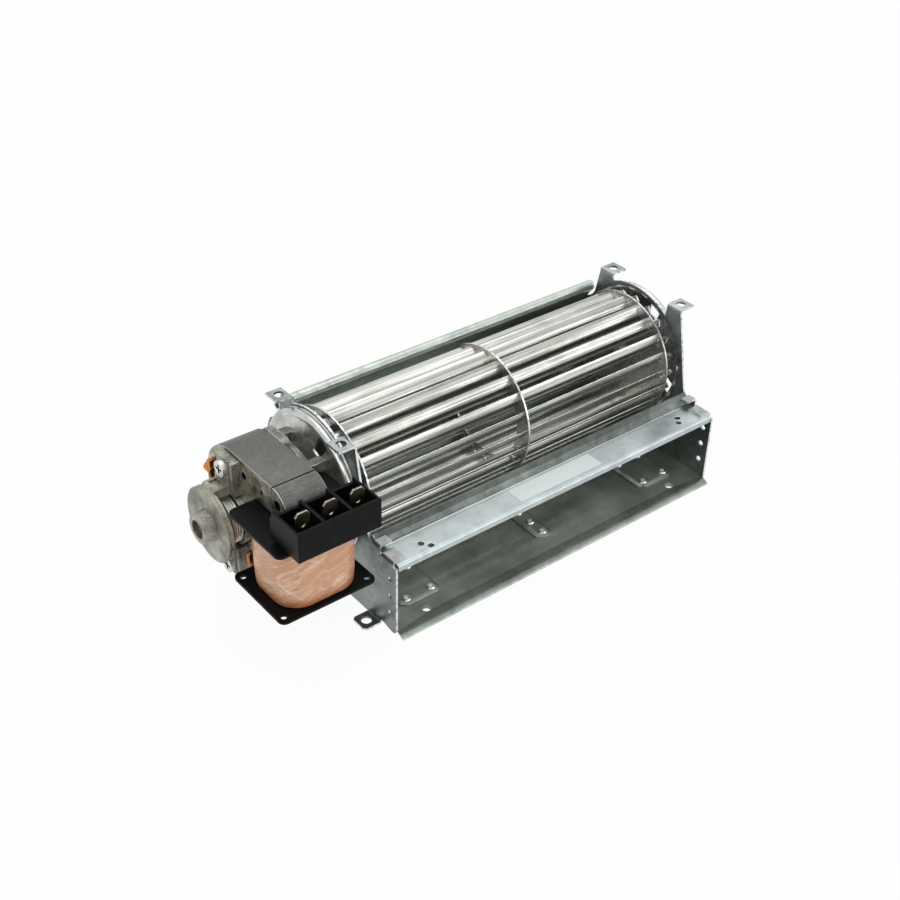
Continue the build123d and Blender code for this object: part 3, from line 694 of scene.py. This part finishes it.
def work(shape: Shape, tool: Shape, way: Way) -> None:
    """Cut or fuse one object with another, which is used up, and merge what lies too close.

    Args:
        shape: The object that stays.
        tool: The object that is used up.
        way: What is done.
    """
    hold(shape)
    change = shape.modifiers.new("work", "BOOLEAN")
    change.operation = way.value
    change.solver = "EXACT"
    change.material_mode = "TRANSFER"
    change.object = tool
    bpy.ops.object.modifier_apply(modifier=change.name)
    bpy.data.objects.remove(tool, do_unlink=True)
    with editing(shape, "VERT"):
        bpy.ops.mesh.select_all(action="SELECT")
        bpy.ops.mesh.remove_doubles(threshold=CUT_WELD)
        bpy.ops.mesh.dissolve_degenerate(threshold=WELD)


def twin_of(shape: Shape, name: str) -> Shape:
    """Copy an object with its own mesh, outside any parent.

    Args:
        shape: The object to copy.
        name: The copy's name.

    Returns:
        The copy.
    """
    twin = bpy.data.objects.new(name, shape.data.copy())
    bpy.context.scene.collection.objects.link(twin)
    return twin


def tidy(shape: Shape) -> None:
    """Merge loose triangles and flatten them into plain faces."""
    with editing(shape, "VERT"):
        bpy.ops.mesh.select_all(action="SELECT")
        bpy.ops.mesh.remove_doubles(threshold=WELD)
        bpy.ops.mesh.dissolve_limited(angle_limit=FLAT)


def brighten(shape: Shape, sheet: float) -> None:
    """Put the cut edges of a sheet, which are narrow and between sharp corners, on slot one, whose bright
    finish paints a highlight on them.

    Args:
        shape: The sheet.
        sheet: Its thickness in millimetres.
    """
    mesh = bmesh.new()
    mesh.from_mesh(shape.data)
    for face in mesh.faces:
        sharp = sum(edge.calc_length() for edge in face.edges
                    if edge.is_manifold and edge.calc_face_angle() > CORNER)
        if sharp > 0 and 2 * face.calc_area() / sharp < CUT_WIDTH * sheet * MILLIMETRE:
            face.material_index = 1
    mesh.to_mesh(shape.data)
    mesh.free()


def ease(shape: Shape, width: float, steps: int = 2, bright: bool = False) -> None:
    """Round an object's sharp edges.

    Args:
        shape: The object.
        width: Width of the rounding in millimetres.
        steps: Segments of the rounding.
        bright: Whether the rounding takes the object's second material, the bright edge finish that paints a
            highlight along the edge.
    """
    hold(shape)
    change = shape.modifiers.new("ease", "BEVEL")
    change.width = width * MILLIMETRE
    change.segments = steps
    change.limit_method = "ANGLE"
    change.angle_limit = ROUNDED
    change.harden_normals = False
    change.material = 1 if bright else -1
    bpy.ops.object.modifier_apply(modifier=change.name)


def smooth(shape: Shape) -> None:
    """Shade an object smooth, apart from its sharp edges, and keep flat faces flat.

    Args:
        shape: The object.
    """
    hold(shape)
    bpy.ops.object.shade_smooth_by_angle(angle=SMOOTH)
    change = shape.modifiers.new("even", "WEIGHTED_NORMAL")
    change.keep_sharp = True
    change.weight = EVENNESS
    bpy.ops.object.modifier_apply(modifier=change.name)


@dataclass
class Refit:
    """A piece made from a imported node, with its edges rounded and its finish on."""

    node: str
    name: str
    finish: Finish
    edge: float = 0.12
    edge_finish: Finish | None = None
    steps: int = 2
    sheet: float = 0.0

    def start(self) -> Shape:
        """Copy the node's mesh, merge it and put its finishes on.

        Returns:
            The copy.
        """
        shape = twin_of(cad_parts[self.node], self.name)
        shape.data.materials.clear()
        dress(shape, self.finish, *([self.edge_finish] if self.edge_finish else []))
        tidy(shape)
        if self.sheet:
            brighten(shape, self.sheet)
        return shape

    def end(self, shape: Shape, body: Body = Body.HOUSING) -> Shape:
        """Round the edges, shade the piece and let it stand for its node.

        Args:
            shape: The piece.
            body: The body that it rides on.

        Returns:
            The finished piece.
        """
        if self.edge > 0:
            ease(shape, self.edge, self.steps, self.edge_finish is not None)
        smooth(shape)
        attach(shape, body.value)
        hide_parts(self.node)
        LOG.info("%s: %d faces", shape.name, len(shape.data.polygons))
        return shape

    def make(self, body: Body = Body.HOUSING) -> Shape:
        """Make the piece with nothing added, on the body that it rides on."""
        return self.end(self.start(), body)


@dataclass(frozen=True)
class DrawnHole:
    """Hole through a sheet with a collar pressed up round it, in millimetres."""

    radius: float
    depth: float
    collar: float
    rise: float
    finish: Finish
    taper: float = 1.0
    sides: int = HOLE_SIDES

    def press(self, shape: Shape, spot: Vector) -> None:
        """Fuse the collar to a sheet and bore the hole through both.

        Args:
            shape: The sheet.
            spot: Middle of the hole.
        """
        collar = rod(spot, UP, self.collar, 2 * self.rise, self.sides)
        with editing(collar):
            pick(collar, lambda middle, normal: normal.z > FACING)
            bpy.ops.transform.resize(value=(self.taper, self.taper, 1.0), center_override=spot)
        work(shape, dress(collar, self.finish), Way.FUSE)
        bore(shape, spot, UP, self.radius, self.depth)


@dataclass
class Housing:
    """Sheet metal of the duct and scroll, the end plates and the bare label."""

    sheet: float = 0.8
    plate_sheet: float = 1.0
    plate_inner: float = 90.2
    duct_top: float = -10.0
    pad_x: tuple[float, ...] = (-69.6, 69.6)
    pad_y: Pair = (-26.0, -42.7)
    pad_top: float = -44.0
    pad_ends: Pair = (-7.0, 21.0)
    floor_hole: Triple = (72.0, -51.4, -45.6)
    pad_slopes: tuple[Pair, ...] = ((0.6, 0.3), (0.7, 0.4), (0.6, 0.2))
    pad_rise: float = 0.9
    pad_zone: float = 0.003
    plate_front: float = -54.0
    steep: float = 0.75
    floor_collar: DrawnHole = DrawnHole(2.0, 4.0, 2.7, 0.9, SHADED_SHEET, sides=32)
    # The pad collars take the lighter sheet, painted light; the floor collars the darker one, painted shade
    pad_collar: DrawnHole = DrawnHole(1.15, 5.0, 2.3, 0.7, PAINTED_LIGHT_SHEET, 0.78)
    hole_in_pad: float = 6.4
    top_holes: tuple[Pair, ...] = ((-74.1, -49.9), (-71.5, -53.1), (76.1, -47.5), (73.7, -50.6))
    small_hole: float = 1.3
    top_depth: float = 5.0
    side_depth: float = 4.0
    channel_y: float = -42.3
    side_holes: tuple[float, ...] = (-18.7, -27.5, -36.3)
    side_hole_y: float = -51.8
    dish_rim: Pair = (91.25, 32.6)
    lug_low: float = 3.0
    lug_high: float = 79.0
    lug_hole: float = 0.0026
    lug_facing: float = 0.7
    shoulder: Triple = (93.1, 30.6, 1.9)
    lug_holes: tuple[Pair, ...] = ((94.6, -25.0), (94.6, 19.5), (95.3, -41.0))
    label_low: Pair = (-23.5, -53.2)
    label_high: Pair = (23.0, -43.8)
    label_thickness: float = 0.15
    label_sink: float = 0.02
    label_corner: float = 0.8

    def scroll(self) -> Shape:
        """Make the rolled sheet, whose pads get sloping sides and holes with drawn collars.

        Returns:
            The rolled sheet.
        """
        refit = Refit("scroll_housing", "rolled_scroll", SCROLL, 0.16, EDGE, sheet=self.sheet)
        shape = dress(refit.start(), SHADED_CHANNEL, SHADED_FRONT, JOINT_AND_HOLE_SHADE)
        height = at(0, 0, self.pad_top).z
        front = at(0, self.plate_front, 0).y
        with editing(shape):
            pick(shape, lambda middle, normal: normal.z > FACING and abs(middle.z - height) < SAME_PLACE)
            for slope, rise in self.pad_slopes:
                bpy.ops.mesh.inset(thickness=slope * MILLIMETRE)
                bpy.ops.transform.translate(value=(0, 0, rise * MILLIMETRE))
        # The floor's front strip is painted shade with a darker sheet
        paint(shape, 3, lambda face: face.center.y < front and face.material_index == 0)
        x, y, z = self.floor_hole
        for side in (-1, 1):
            self.floor_collar.press(shape, at(side * x, y, z))
        spots = [(x + step, y) for x in self.pad_x for step in (-self.hole_in_pad, self.hole_in_pad)
                 for y in self.pad_y]
        spots += [(0.0, self.pad_y[0]), (0.0, sum(self.pad_y) / 2), (0.0, self.pad_y[1])]
        for x, y in spots:
            self.pad_collar.press(shape, at(x, y, self.pad_top + self.pad_rise))
        refit.end(shape)
        # Steep pad walls are painted shade with the dark channel sheet
        for face in shape.data.polygons:
            middle = face.center
            if face.material_index > 1 or middle.z > height + self.pad_zone \
                    or not self.pad_ends[0] < middle.y / MILLIMETRE < self.pad_ends[1] \
                    or any((middle - at(x, y, 0)).xy.length < self.pad_zone for x, y in spots):
                continue
            face.material_index = 2 if abs(face.normal.z) < self.steep else 0
        return shape

    def top(self) -> Shape:
        """Make the folded sheet over the outlet with its small holes.

        Returns:
            The folded sheet.
        """
        refit = Refit("duct_top_plate", "folded_duct_top", DUCT, 0.18, EDGE, sheet=self.sheet)
        shape = dress(refit.start(), SHADED_CHANNEL, JOINT_AND_HOLE_SHADE)
        fold = at(0, self.channel_y, 0).y
        # The band behind the fold is painted shade with the dark channel sheet
        paint(shape, 2, lambda face: face.center.y > fold and face.material_index == 0)
        # Hole walls take the near black of the last slot, painted shade
        for x, y in self.top_holes:
            bore(shape, at(x, y, self.duct_top), UP, self.small_hole, self.top_depth)
        return refit.end(shape)

    def plate(self, node: str, name: str, side: int) -> Shape:
        """Make an end plate with a rolled bead round its dish and three holes beside its outlet.

        Args:
            node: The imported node.
            name: The piece's name.
            side: Minus one at the motor, one at the far end.

        Returns:
            The plate.
        """
        refit = Refit(node, name, SHADED_SHEET, 0.2, EDGE, sheet=self.plate_sheet)
        shape = dress(refit.start(), PAINTED_LIGHT_SHEET, LIT_LUG)
        rim = at(side * self.dish_rim[0], 0, 0)
        # The drawn dish is painted light with the lighter sheet
        paint(shape, 2, lambda face: face.material_index == 0 and (face.center.x - rim.x) * side > 0
              and (face.center - rim).yz.length < self.dish_rim[1] * MILLIMETRE)
        # Faces that look up are painted light with the lighter lug sheet
        paint(shape, 3, lambda face: face.material_index == 0 and face.normal.z > self.lug_facing)
        for x, y in self.lug_holes:
            hole = at(side * x, y, 0)
            paint(shape, 0, lambda face: (face.center - hole).xy.length < self.lug_hole
                  and abs(face.normal.z) < ACROSS
                  and not self.lug_low < face.center.z / MILLIMETRE < self.lug_high)
        x, radius, wire = self.shoulder
        work(shape, dress(hoop(at(side * x, 0, 0), radius, wire), PAINTED_LIGHT_SHEET), Way.FUSE)
        for z in self.side_holes:
            spot = at(side * (self.plate_inner + self.plate_sheet / 2), self.side_hole_y, z)
            bore(shape, spot, ALONG, self.small_hole, self.side_depth)
        return refit.end(shape)

    def label(self) -> Shape:
        """Make the thin bare label with rounded corners on the duct top.

        Returns:
            The label.
        """
        shape = box(at(*self.label_low, self.duct_top - self.label_sink),
                    at(*self.label_high, self.duct_top + self.label_thickness))
        shape.name = "bare_rating_label"
        with editing(shape, "EDGE"):
            pick(shape, lambda middle, way: abs(way.z) > FACING)
            bpy.ops.mesh.bevel(offset=self.label_corner * MILLIMETRE, segments=5, affect="EDGES")
        ease(dress(shape, LABEL), self.label_thickness / 3, 1)
        smooth(shape)
        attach(shape, Body.HOUSING.value)
        return shape

    def build(self) -> list[Shape]:
        """Build and dress every piece of the housing."""
        return [
            self.scroll(),
            self.top(),
            self.plate("left_end_plate", "motor_side_plate", -1),
            self.plate("right_end_plate", "far_side_plate", 1),
            Refit("right_grommet", "far_grommet", RUBBER, 0.3).make(),
            Refit("right_bearing", "far_bearing", BRONZE, 0.15).make(),
            self.label(),
        ]


@dataclass
class Impeller:
    """Discs, blades and hubs that turn on the shaft."""

    blade_count: int = 21
    disc_faces: Pair = (-83.85, 84.6)
    tab_length: float = 5.3
    tab_wall: float = 0.55
    tab_hollow: float = 1.2
    tab_floor: float = 24.0
    tab_recess: Pair = (0.6, -0.35)
    blade_edge: float = 0.14
    disc_sheet: float = 0.8
    rotor_stack: Pair = (-129.2, -110.0)

    def blade(self) -> Shape:
        """Make the first blade, whose folded tabs are open at their ends.

        Returns:
            The blade.
        """
        shape = Refit("blade_01", "curved_blade_01", STRIP, edge_finish=EDGE).start()
        for inner, way in zip(self.disc_faces, (-1, 1)):
            end = at(inner + way * self.tab_length, 0, 0)
            sink(shape, lambda middle, normal: abs(middle.x - end.x) < SAME_PLACE, self.tab_wall,
                 ALONG * (-way * self.tab_hollow))
            half = (end.x + at(inner, 0, 0).x) / 2
            with editing(shape):
                pick(shape, lambda middle, normal: abs(normal.x) < ACROSS
                     and abs(middle.x - half) < SAME_PLACE
                     and (middle - end).yz.length > self.tab_floor * MILLIMETRE)
                # The tabs' outer faces take the bright edge finish as a painted highlight, their recessed
                # middles go back to the strip
                shape.active_material_index = 1
                bpy.ops.object.material_slot_assign()
                width, depth = (size * MILLIMETRE for size in self.tab_recess)
                bpy.ops.mesh.inset(thickness=width, depth=depth, use_individual=True)
                shape.active_material_index = 0
                bpy.ops.object.material_slot_assign()
        ease(shape, self.blade_edge, bright=True)
        smooth(shape)
        return shape

    def blades(self) -> list[Shape]:
        """Make the first blade and its copies, each turned on by one pitch.

        Returns:
            The blades.
        """
        made = [self.blade()]
        centre = Matrix.Translation(at(0, 0, 0))
        for number in range(1, self.blade_count):
            twin = twin_of(made[0], f"curved_blade_{number + 1:02d}")
            step = Matrix.Rotation(radians(-number * 360 / self.blade_count), 4, "X")
            twin.matrix_world = centre @ step @ centre.inverted()
            made.append(settle(twin))
        for number, shape in enumerate(made, 1):
            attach(shape, Body.IMPELLER.value)
            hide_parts(f"blade_{number:02d}")
        LOG.info("blades: %d copies of %d faces", len(made), len(made[0].data.polygons))
        return made

    def rotor(self) -> Shape:
        """Make the laminated rotor with its cast ends.

        Returns:
            The rotor.
        """
        refit = Refit("rotor_core", "motor_rotor", STACK, 0.4)
        shape = dress(refit.start(), DISC)
        left, right = (at(x, 0, 0) for x in self.rotor_stack)
        for end in (left, right):
            split(shape, end, ALONG)
        paint(shape, 1, lambda face: not left.x < face.center.x < right.x)
        return refit.end(shape, Body.IMPELLER)

    def build(self) -> list[Shape]:
        """Build and dress every turning piece.

        Returns:
            The pieces.
        """
        discs = {"left_end_disc": "motor_side_disc", "right_end_disc": "far_side_disc",
                 "centre_ring": "middle_ring"}
        plain = [Refit(node, name, DISC, 0.12, EDGE, sheet=self.disc_sheet) for node, name in discs.items()]
        plain += [Refit("left_hub", "motor_side_hub", TURNED, 0.4),
                  Refit("stub_shaft", "far_side_stub", TURNED, 0.3),
                  Refit("rotor_shaft", "motor_shaft", SHAFT, 0.4)]
        return [refit.make(Body.IMPELLER) for refit in plain] + [self.rotor()] + self.blades()


@dataclass
class Motor:
    """Shaded-pole motor on its two brackets."""

    stack_left: float = -129.2
    stack_right: float = -110.0
    stack_half: float = 30.0
    joint_y: float = -29.0
    seam: float = 0.6
    seam_depth: float = 0.8
    gap: float = 0.01
    dimple_depth: float = 5.0
    dimples: tuple[Triple, ...] = (
        (-8.6, 23.4, 1.6), (-21.4, 23.0, 0.9), (-8.6, -23.4, 1.6), (-21.4, -23.0, 0.9))
    core_dimples: tuple[Triple, ...] = ((-32.6, 23.4, 2.1), (-32.6, -23.4, 2.1))
    coil_x: float = -119.6
    flange_y: float = -33.95
    flange_low: float = -16.5
    flange_holes: Pair = (38.7, 29.6)
    flange_hole: float = 1.3
    hole_depth: float = 4.0
    coil_y: float = -34.25
    coil_levels: tuple[float, ...] = (-12.0, -8.0, -4.0, 0.0, 4.0, 8.0, 12.0)
    coil_bulge: float = 0.028
    coil_height: float = 33.0
    terminal_y: float = -54.0
    terminal_hole_z: float = 29.3
    terminal_hole: float = 0.95
    terminal_pitch: float = 12.15
    screw_y: float = 0.4
    screw_z: float = 24.0
    head_left: float = -135.2
    recess: Triple = (1.4, 4.2, 1.0)
    groove: Triple = (-140.65, 16.3, 0.3)
    boss_left: float = -147.0
    boss_taper: float = 0.88
    arm_top: float = 17.0
    arm_wall: float = 1.3
    arm_channel: float = 0.9
    ear_trims: tuple[tuple[Triple, Triple], ...] = (
        ((-136.0, 5.3, 17.6), (-128.0, 9.0, 31.0)),
        ((-136.0, -8.0, 28.5), (-128.0, 9.0, 31.0)),
        ((-134.0, -4.0, 16.0), (-132.1, -3.3, 31.0)))
    cage: tuple[float, float, float, float] = (-135.9, -132.3, 10.3, 6.6)
    cage_bore: float = 10.0
    cage_sides: int = 64
    ridges: tuple[float, ...] = (-134.9, -133.8, -132.6)
    ridge_wire: float = 0.42
    lump: Triple = (-131.2, 14.2, 15.0)
    lump_size: tuple[float, float, int] = (2.1, 5.0, 24)

    def dimpled(self, node: str, name: str, spots: tuple[Triple, ...], seam: bool = False) -> Shape:
        """Make a stack with deep round dimples in its left face, which has its own finish.

        Args:
            node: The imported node.
            name: The piece's name.
            spots: Places of the dimples behind and above the shaft, and their radii.
            seam: Whether the piece has the gap at the joint with its neighbour.

        Returns:
            The stack.
        """
        refit = Refit(node, name, STACK, 0.12, EDGE)
        shape = dress(refit.start(), STACK_SIDE)
        paint(shape, 2, lambda face: abs(face.normal.x) > FACING)
        ease(shape, refit.edge, refit.steps, bright=True)
        dress(shape, JOINT_AND_HOLE_SHADE)
        joint = at(0, self.joint_y, 0).y
        paint(shape, 3, lambda face: abs(face.center.y - joint) < self.seam * MILLIMETRE)
        # Dimple walls take the near black of the last slot, painted shade
        for y, z, radius in spots:
            bore(shape, at(self.stack_left, y, z), ALONG, radius, self.dimple_depth)
        low = (self.stack_left - 1, self.joint_y - self.seam, self.stack_half - self.seam_depth - self.gap)
        high = (self.stack_right + 1, self.joint_y + self.gap, self.stack_half + self.gap)
        for side in (-1, 1) if seam else ():
            notch(shape, low, high, side, JOINT_AND_HOLE_SHADE)
        return replace(refit, edge=0.0).end(shape)

    def bobbin(self) -> Shape:
        """Make the moulded bobbin with holes at its lower flange's corners.

        Returns:
            The bobbin.
        """
        refit = Refit("coil_bobbin", "moulded_bobbin", BLACK, 0.35, steps=3)
        shape = dress(refit.start(), BLACK)
        for x in (-0.5, 0.5):
            for y in (-0.5, 0.5):
                spot = at(self.coil_x + x * self.flange_holes[0], self.flange_y + y * self.flange_holes[1],
                          self.flange_low)
                bore(shape, spot, UP, self.flange_hole, self.hole_depth)
        return refit.end(shape)

    def coil(self) -> Shape:
        """Make the taped winding, which swells a little at half height.

        Returns:
            The winding.
        """
        refit = Refit("coil_winding", "taped_coil", TAPE, 0.9, steps=4)
        shape = refit.start()
        middle = at(self.coil_x, self.coil_y, 0)
        for level in self.coil_levels:
            split(shape, at(0, 0, level), UP)
        for level in self.coil_levels:
            height = at(0, 0, level).z
            with editing(shape, "EDGE"):
                pick(shape, lambda spot, way: abs(spot.z - height) < SAME_PLACE and abs(way.z) < ACROSS)
                grow = 1 + self.coil_bulge * cos(pi * level / self.coil_height)
                bpy.ops.transform.resize(value=(grow, grow, 1.0), center_override=middle)
        return refit.end(shape)

    def terminal(self, number: int) -> Shape:
        """Make a flat blade terminal with its latch hole.

        Args:
            number: One to three, from the left.

        Returns:
            The terminal.
        """
        refit = Refit(f"terminal_{number}", f"spade_{number}", SPADE, 0.14, SPADE_EDGE_AND_HIGHLIGHT)
        shape = refit.start()
        spot = at(self.coil_x + (number - 2) * self.terminal_pitch, self.terminal_y, self.terminal_hole_z)
        bore(shape, spot, BACK, self.terminal_hole, self.hole_depth)
        return refit.end(shape)

    def screws(self) -> Shape:
        """Make the long screws with cross recesses in their heads.

        Returns:
            Both screws.
        """
        refit = Refit("motor_screws", "long_screws", SCREW, 0.5, steps=3)
        shape = dress(refit.start(), JOINT_AND_HOLE_SHADE)
        middle = Vector((self.head_left, self.screw_y, self.screw_z))
        depth, length, width = self.recess
        # Recess walls are near black, painted shade
        for side in (-1, 1):
            for half in (Vector((depth, length, width)) / 2, Vector((depth, width, length)) / 2):
                notch(shape, tuple(middle - half), tuple(middle + half), side, JOINT_AND_HOLE_SHADE)
        return refit.end(shape)

    def outer_casting(self) -> Shape:
        """Make the outer bracket with its trimmed ears, ringed disc, tapered boss and channelled arms.

        Returns:
            The bracket.
        """
        refit = Refit("outer_bracket", "outer_casting", CASTING, 0.28, CAST_EDGE_AND_HIGHLIGHT)
        shape = refit.start()
        for side in (-1, 1):
            for low, high in self.ear_trims:
                notch(shape, low, high, side)
        x, radius, wire = self.groove
        work(shape, hoop(at(x, 0, 0), radius, wire), Way.CUT)
        reach = at(self.boss_left, 0, 0)
        with editing(shape, "EDGE"):
            pick(shape, lambda middle, way: abs(middle.x - reach.x) < SAME_PLACE)
            bpy.ops.transform.resize(value=(1.0, self.boss_taper, self.boss_taper), center_override=reach)
        for side in (-1, 1):
            level = at(0, 0, side * self.arm_top).z
            sink(shape, lambda middle, normal: side * normal.z > FACING
                 and abs(middle.z - level) < SAME_PLACE, self.arm_wall, UP * (-side * self.arm_channel))
        return refit.end(shape)

    def retainer(self) -> Shape:
        """Make the spring retainer with its ridged cage towards the rotor.

        Returns:
            The retainer.
        """
        refit = Refit("outer_retainer", "spring_retainer", SPRING, 0.15)
        shape = refit.start()
        left, right, radius, hollow = self.cage
        middle = at((left + right) / 2, 0, 0)
        cage = rod(middle, ALONG, radius, right - left, self.cage_sides)
        work(cage, rod(middle, ALONG, hollow, self.cage_bore, self.cage_sides), Way.CUT)
        dress(cage, SPRING)
        for x in self.ridges:
            work(cage, dress(hoop(at(x, 0, 0), radius, self.ridge_wire), SPRING), Way.FUSE)
        work(shape, cage, Way.FUSE)
        return refit.end(shape)

    def upper_ring(self) -> Shape:
        """Make the upper copper ring with the thick joint where its ends meet.

        Returns:
            The ring.
        """
        refit = Refit("shading_ring_upper", "upper_copper_ring", COPPER, 0.7, steps=4)
        shape = refit.start()
        work(shape, dress(rod(at(*self.lump), BACK, *self.lump_size), COPPER), Way.FUSE)
        return refit.end(shape)

    def build(self) -> list[Shape]:
        """Build and dress every piece of the motor.

        Returns:
            The pieces.
        """
        made = [
            self.dimpled("stator_stack", "c_frame_stack", self.dimples),
            self.dimpled("coil_core_stack", "coil_bar_stack", self.core_dimples, True),
            self.bobbin(),
            self.coil(),
            self.screws(),
            self.outer_casting(),
            self.retainer(),
            self.upper_ring(),
            *(self.terminal(number) for number in (1, 2, 3)),
        ]
        plain = [
            Refit("shading_ring_lower", "lower_copper_ring", COPPER, 1.0, steps=4),
            Refit("inner_bracket", "inner_casting", INNER_CASTING, 0.22, CAST_EDGE_AND_HIGHLIGHT),
            Refit("outer_bearing", "outer_sleeve", BRONZE, 0.15),
            Refit("inner_bearing", "inner_sleeve", BRONZE, 0.15),
            Refit("outer_felt", "oil_felt_ring", FELT, 0.5, steps=3),
        ]
        return made + [refit.make() for refit in plain]


@dataclass(frozen=True)
class Lamp:
    """Soft area lamp that looks at the fan."""

    name: str
    place: Triple
    size: float
    power: float

    def light(self, target: Vector) -> None:
        """Hang the lamp and turn it to a point.

        Args:
            target: The point that it looks at.
        """
        data = bpy.data.lights.new(self.name, "AREA")
        data.shape = "SQUARE"
        data.size = self.size
        data.energy = self.power
        lamp = bpy.data.objects.new(self.name, data)
        lamp.location = self.place
        lamp.rotation_euler = (target - Vector(self.place)).to_track_quat("-Z", "Y").to_euler()
        bpy.context.scene.collection.objects.link(lamp)


@dataclass
class Studio:
    """Pale floor, soft light and the camera that took the photograph."""

    floor_size: float = 12.0
    floor_tone: float = 0.93
    floor_glow: float = 0.95
    floor_gap: float = 0.0002
    aim: Triple = (-15.0, 0.0, -10.0)
    ambient: float = 0.55
    azimuth: float = -39.225
    elevation: float = 34.887
    roll: float = 1.479
    distance: float = 620.888
    shift: Pair = (-15.635, -18.821)
    focal_pixels: float = 1382.197
    picture_pixels: float = 900.0
    sensor: float = 36.0
    lamps: list[Lamp] = field(default_factory=lambda: [
        Lamp("key_softbox", (-0.9, -0.9, 1.5), 1.1, 9.0),
        Lamp("overhead_softbox", (0.3, 0.5, 1.7), 1.6, 9.0),
        Lamp("side_fill", (1.5, -0.8, 0.8), 0.9, 3.0),
        Lamp("front_fill", (0.7, -1.6, 0.28), 1.2, 7.5),
    ])

    def seen(self, bench: Bench) -> Signal:
        """One for rays of the camera, of mirrors and of glass."""
        rays = [bench.add("LightPath", result=name)
                for name in ("Is Camera Ray", "Is Glossy Ray", "Is Transmission Ray")]
        return (rays[0] + rays[1] + rays[2]).above(0.5)

    def floor(self) -> None:
        """Lay the pale floor, which keeps the fan's shadow."""
        bpy.ops.mesh.primitive_plane_add(size=self.floor_size, location=(0, 0, -self.floor_gap))
        plane = bpy.context.object
        plane.name = "studio_floor"
        bench = Bench(bpy.data.materials.new("floor_paper"))
        tones = [(self.floor_tone + step,) * 3 for step in (0.0, 0.02)]
        paper = bench.add("BsdfDiffuse", None, {"Color": bench.blend(bench.noise(3.0), *tones)})
        glow = bench.add("Emission", None, {"Color": (1, 1, 1, 1), "Strength": 1.0})
        share = self.seen(bench) * self.floor_glow
        both = bench.add("MixShader", None, {0: share, 1: paper, 2: glow})
        plane.data.materials.append(bench.end("OutputMaterial", both))

    def sky(self) -> None:
        """Light from all round, white where it is seen."""
        bench = Bench(bpy.data.worlds.new("studio_world"))
        white, soft = [bench.add("Background", None, {"Color": (1, 1, 1, 1), "Strength": level})
                       for level in (1.0, self.ambient)]
        both = bench.add("MixShader", None, {0: self.seen(bench), 1: soft, 2: white})
        bpy.context.scene.world = bench.end("OutputWorld", both)

    def camera(self) -> None:
        """Set the camera where the photograph was taken from."""
        turn, rise, tilt = radians(self.azimuth), radians(self.elevation), radians(self.roll)
        back = Vector((sin(turn) * cos(rise), -cos(turn) * cos(rise), sin(rise)))
        level = Vector((cos(turn), sin(turn), 0))
        upward = back.cross(level)
        right = level * cos(tilt) + upward * sin(tilt)
        up = upward * cos(tilt) - level * sin(tilt)
        data = bpy.data.cameras.new("photo_camera")
        data.sensor_width = self.sensor
        data.lens = self.focal_pixels / self.picture_pixels * self.sensor
        data.clip_start = 0.05
        data.clip_end = 50.0
        camera = bpy.data.objects.new("photo_camera", data)
        spot = back * self.distance + right * self.shift[0] + up * self.shift[1] + SHAFT_AXIS
        turned = Matrix((right, up, back)).transposed().to_4x4()
        camera.matrix_world = Matrix.Translation(spot * MILLIMETRE) @ turned
        bpy.context.scene.collection.objects.link(camera)
        bpy.context.scene.camera = camera

    def build(self) -> None:
        """Set up floor, light and camera."""
        bpy.context.scene.view_settings.view_transform = "Standard"
        self.floor()
        self.sky()
        for lamp in self.lamps:
            lamp.light(at(*self.aim))
        self.camera()


def main() -> None:
    """Build the studio and the fan, and report each sub-assembly."""
    logging.basicConfig(level=logging.INFO, format="%(message)s")
    Studio().build()
    for maker in (Housing(), Impeller(), Motor()):
        made = maker.build()
        LOG.info("%s: %d pieces", type(maker).__name__, len(made))
    bpy.ops.object.select_all(action="DESELECT")


if __name__ == "__main__":
    main()
